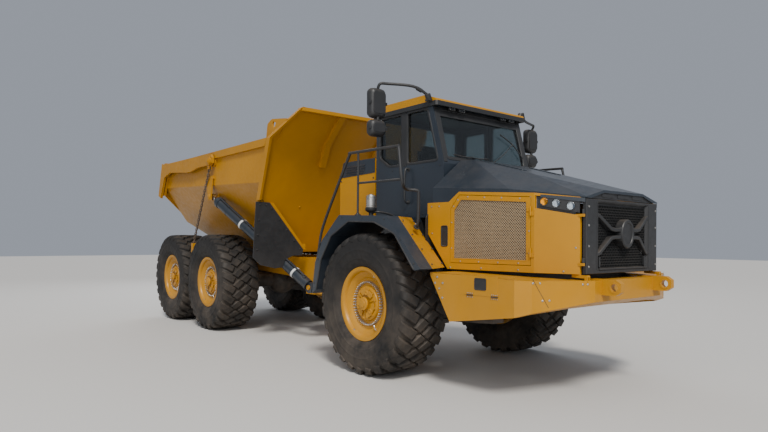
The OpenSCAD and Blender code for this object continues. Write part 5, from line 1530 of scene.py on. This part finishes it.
def makeBedParts(s):
    bm = newShape()
    for side in (-1, 1):
        for y, z in s["flapBolts"]:
            addTurned(bm, [(0.022, -0.001), (0.022, 0.003), (0.012, 0.0035), (0.012, 0.012), (0.009, 0.014)],
                      at(-2.940, side * y, z), (1, 0, 0), 8)
    finishPiece(bm, "flapBolts", "bed", "moldedBlack")
    # headboard: drain hole at the foot of each edge, threaded plugs
    (x0, z0), (x1, z1) = s["board"]
    slope = math.atan2(x1 - x0, z1 - z0)
    n = Vector((math.cos(slope), 0, -math.sin(slope)))

    def onBoard(y, z):
        return at(x0 + (z - z0) * math.tan(slope), y, z)
    bm = newShape()
    for side in (-1, 1):
        y, z = s["drain"]
        addTurned(bm, [(0.036, -0.002), (0.036, 0.002), (0.030, 0.0035), (0.026, 0.001), (0.026, -0.004)],
                  onBoard(side * y, z), n, 24)
    finishPiece(bm, "headboardDrains", "bed", "ventBlack")
    bm = newShape()
    for side in (-1, 1):
        y, z = s["plug"]
        addTurned(bm, [(0.020, -0.002), (0.020, 0.008), (0.013, 0.010), (0.013, 0.020)], onBoard(side * y, z), n, 6)
    x, z, y = s["gatePin"]
    for side in (-1, 1):
        addTurned(bm, [(0.062, -0.002), (0.062, 0.010), (0.050, 0.016), (0.030, 0.016), (0.030, 0.024),
                       (0.022, 0.026)], at(x, side * y, z), (0, side, 0), 28)
    finishPiece(bm, "bedPlugs", "bed", "bedPaint", 0.001)
    x, z, y = s["hinge"]
    bm = newShape()
    for side in (-1, 1):
        addTurned(bm, [(0.066, -0.004), (0.066, 0.012), (0.054, 0.018), (0.030, 0.018), (0.030, 0.026)],
                  at(x, side * y, z), (0, side, 0), 28)
        for t in (math.radians(a) for a in (0, 120, 240)):
            addBolt(bm, at(x + 0.044 * math.cos(t), side * (y + 0.015), z + 0.044 * math.sin(t)),
                    Vector((0, side, 0)), 0.009, 0.007)
    finishPiece(bm, "hingeCaps", "bed", "bedPaint", 0.001)


makeBedParts(bedShape)
print("bed dressed")

# rear lamps in their housings on the rails' ends
lampBar = {"x": -7.50, "z": 1.33, "radius": 0.052, "red": 0.600, "amber": 0.728, "from": 0.527, "to": 0.80}


def makeRearLamps(s):
    box, red, amber = newShape(), newShape(), newShape()
    for side in (-1, 1):
        y0, y1 = sorted((side * s["from"], side * s["to"]))
        addBlock(box, at(s["x"] - 0.015, y0, s["z"] - 0.085), at(s["x"] + 0.045, y1, s["z"] + 0.085))
        for y, shape in ((side * s["red"], red), (side * s["amber"], amber)):
            centre = at(s["x"] - 0.015, y, s["z"])
            addTurned(box, [(s["radius"] + 0.008, -0.002), (s["radius"] + 0.008, 0.006), (s["radius"], 0.010),
                            (s["radius"] - 0.002, 0.002)], centre, (-1, 0, 0), 28)
            addTurned(shape, [(s["radius"] - 0.003, 0.001), (s["radius"] - 0.004, 0.010), (0.036, 0.017),
                              (0.018, 0.020)], centre, (-1, 0, 0), 28)
    finishPiece(box, "rearLampBoxes", "rear_frame", "moldedBlack", 0.002)
    finishPiece(red, "rearLampsRed", "rear_frame", "lensRed")
    finishPiece(amber, "rearLampsAmber", "rear_frame", "lensAmber")


makeRearLamps(lampBar)
print("rear lamps built")


# handrails: bent tube over the fender, mid rail, post, and the loop down to the strip
railShape = {"radius": 0.019, "y": 1.69,
             "top": [(-1.115, 1.69, 1.10), (-0.990, 1.69, 1.655), (-0.892, 1.69, 1.955), (-0.560, 1.69, 2.470),
                     (-0.270, 1.69, 2.893), (-0.235, 1.69, 2.926), (-0.195, 1.69, 2.932), (0.690, 1.69, 2.915),
                     (0.738, 1.69, 2.902), (0.762, 1.69, 2.862), (0.822, 1.69, 2.480), (0.740, 1.55, 2.400),
                     (0.800, 1.43, 2.385), (0.806, 1.405, 2.320), (0.771, 1.385, 1.985), (0.735, 1.377, 1.940)],
             "mid": [(-0.062, 2.520), (0.812, 2.505)], "post": [(-0.060, 2.925), (-0.066, 2.094)],
             "stays": [(-1.085, 1.225, 0.075), (-0.965, 1.735, 0.110)]}


def makeRails(r):
    bm = newShape()
    for side in (-1, 1):
        addPipe(bm, smoothRun([at(x, side * y, z) for x, y, z in r["top"]], 4), r["radius"], 12)
        for (x0, z0), (x1, z1) in (r["mid"], r["post"]):
            addPipe(bm, [at(x0, side * r["y"], z0), at(x1, side * r["y"], z1)], 0.015, 10)
        for x, z, run in r["stays"]:
            addPipe(bm, [at(x, side * r["y"], z), at(x + run, side * r["y"], z - 0.01)], 0.012, 8)
        addTurned(bm, [(0.040, -0.004), (0.040, 0.008), (0.024, 0.012)], at(0.735, side * 1.377, 1.934),
                  (0.71, 0, 0.70), 16)
    o = finishPiece(bm, "handrailTubes", "front_frame", "moldedBlack")
    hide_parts("handrails")


makeRails(railShape)
print("handrails built")

# slate brow between the lamps and the hood
browLine = [(-0.487, 2.252), (-0.487, 2.281), (-0.010, 2.229), (-0.010, 2.184)]


def makeBrows(line):
    for name, side in sides.items():
        bm = newShape()
        addPlate(bm, line, alongHood(side, lampShape["from"], lampShape["to"]), -0.001, 0.004)
        finishPiece(bm, "lampBrow_" + name, "hood", "slatePaint", 0.001)


makeBrows(browLine)
print("lamp brows built")


# headboard: leaning folded sheet with its edge flanges, two channels, lugs and flap carriers
boardShape = {"folds": [(-3.340, 1.550, 0.530), (-2.975, 2.440, 1.650), (-2.530, 3.440, 1.700),
                        (-2.030, 3.900, 1.370)], "thick": 0.0497,
              "flange": [(-2.991, -2.905, 1.610, 1.651, 2.440), (-2.548, -2.457, 1.652, 1.700, 3.436),
                         (-2.046, -1.975, 1.322, 1.371, 3.900)],
              "channel": [(-2.700, 3.080), (-2.531, 3.439), (-2.060, 3.870), (-1.990, 3.870), (-2.460, 3.430),
                          (-2.640, 3.050)],
              "channels": (-0.610, 0.490), "channelWide": 0.120,
              "lug": [(-2.930, 3.470), (-2.880, 3.740), (-2.730, 3.800), (-2.400, 3.760), (-2.200, 3.730),
                      (-2.560, 3.400)],
              "hole": (-2.650, 3.705, 0.055),
              "carrier": [(0.690, 1.600), (0.790, 1.600), (1.460, 2.410), (1.350, 2.410)],
              "carrierFeet": [(0.690, 0.740, -3.320, 1.640, 1.700), (1.330, 1.390, -3.030, 2.330, 2.400)]}


def makeBoard(s):
    bm = newShape()
    addRings(bm, [[at(a, b, z) for a, b in ((x, -half), (x, half), (x - s["thick"], half), (x - s["thick"], -half))]
                  for x, z, half in s["folds"]])
    addBlock(bm, at(-2.120, -1.370, 3.840), at(-1.980, 1.370, 3.900))
    for y in s["channels"]:
        addPrism(bm, [at(x, y, z) for x, z in s["channel"]], (0, s["channelWide"], 0))
    for side in (-1, 1):
        addRings(bm, [[at(x, side * y, z) for x, y in rectangle(x0, y0, x1, y1)]
                      for x0, x1, y0, y1, z in s["flange"]])
        addPrism(bm, [at(-3.000, side * y, z) for y, z in s["carrier"]], (0.0397, 0, 0))
        for near, far, back, low, high in s["carrierFeet"]:
            y0, y1 = sorted((side * near, side * far))
            addBlock(bm, at(back, y0, low), at(-2.980, y1, high))
        # lug with its round hole
        outer = roundOutline(s["lug"], 0.03)
        cx, cz, r = s["hole"]
        turns = [math.atan2(v - cz, u - cx) for u, v in outer]
        inner = [(cx + r * math.cos(t), cz + r * math.sin(t)) for t in turns]
        addRing(bm, outer, inner, facingSide(side, 1.490), 0.0, 0.030)
    o = finishPiece(bm, "headboardSheet", "bed", "bedPaint", 0.004)
    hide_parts("headboard")


makeBoard(boardShape)
print("headboard built")

# dark closing plate under the hood's front edge
noseLine = [(-0.655, 2.231), (0.655, 2.231), (0.655, 2.240), (0.428, 2.316), (-0.428, 2.316), (-0.655, 2.240)]


def makeNosePlate(line):
    bm = newShape()
    addPlate(bm, line, facingFront(2.690), 0.0, 0.012)
    for y in (-0.32, 0.0, 0.32):
        addPanel(bm, (y - 0.12, 2.252, y + 0.12, 2.296), 0.015, facingFront(2.690), 0.010, 0.018)
    finishPiece(bm, "nosePlate", "hood", "moldedBlack", 0.002)


makeNosePlate(noseLine)
print("nose plate built")
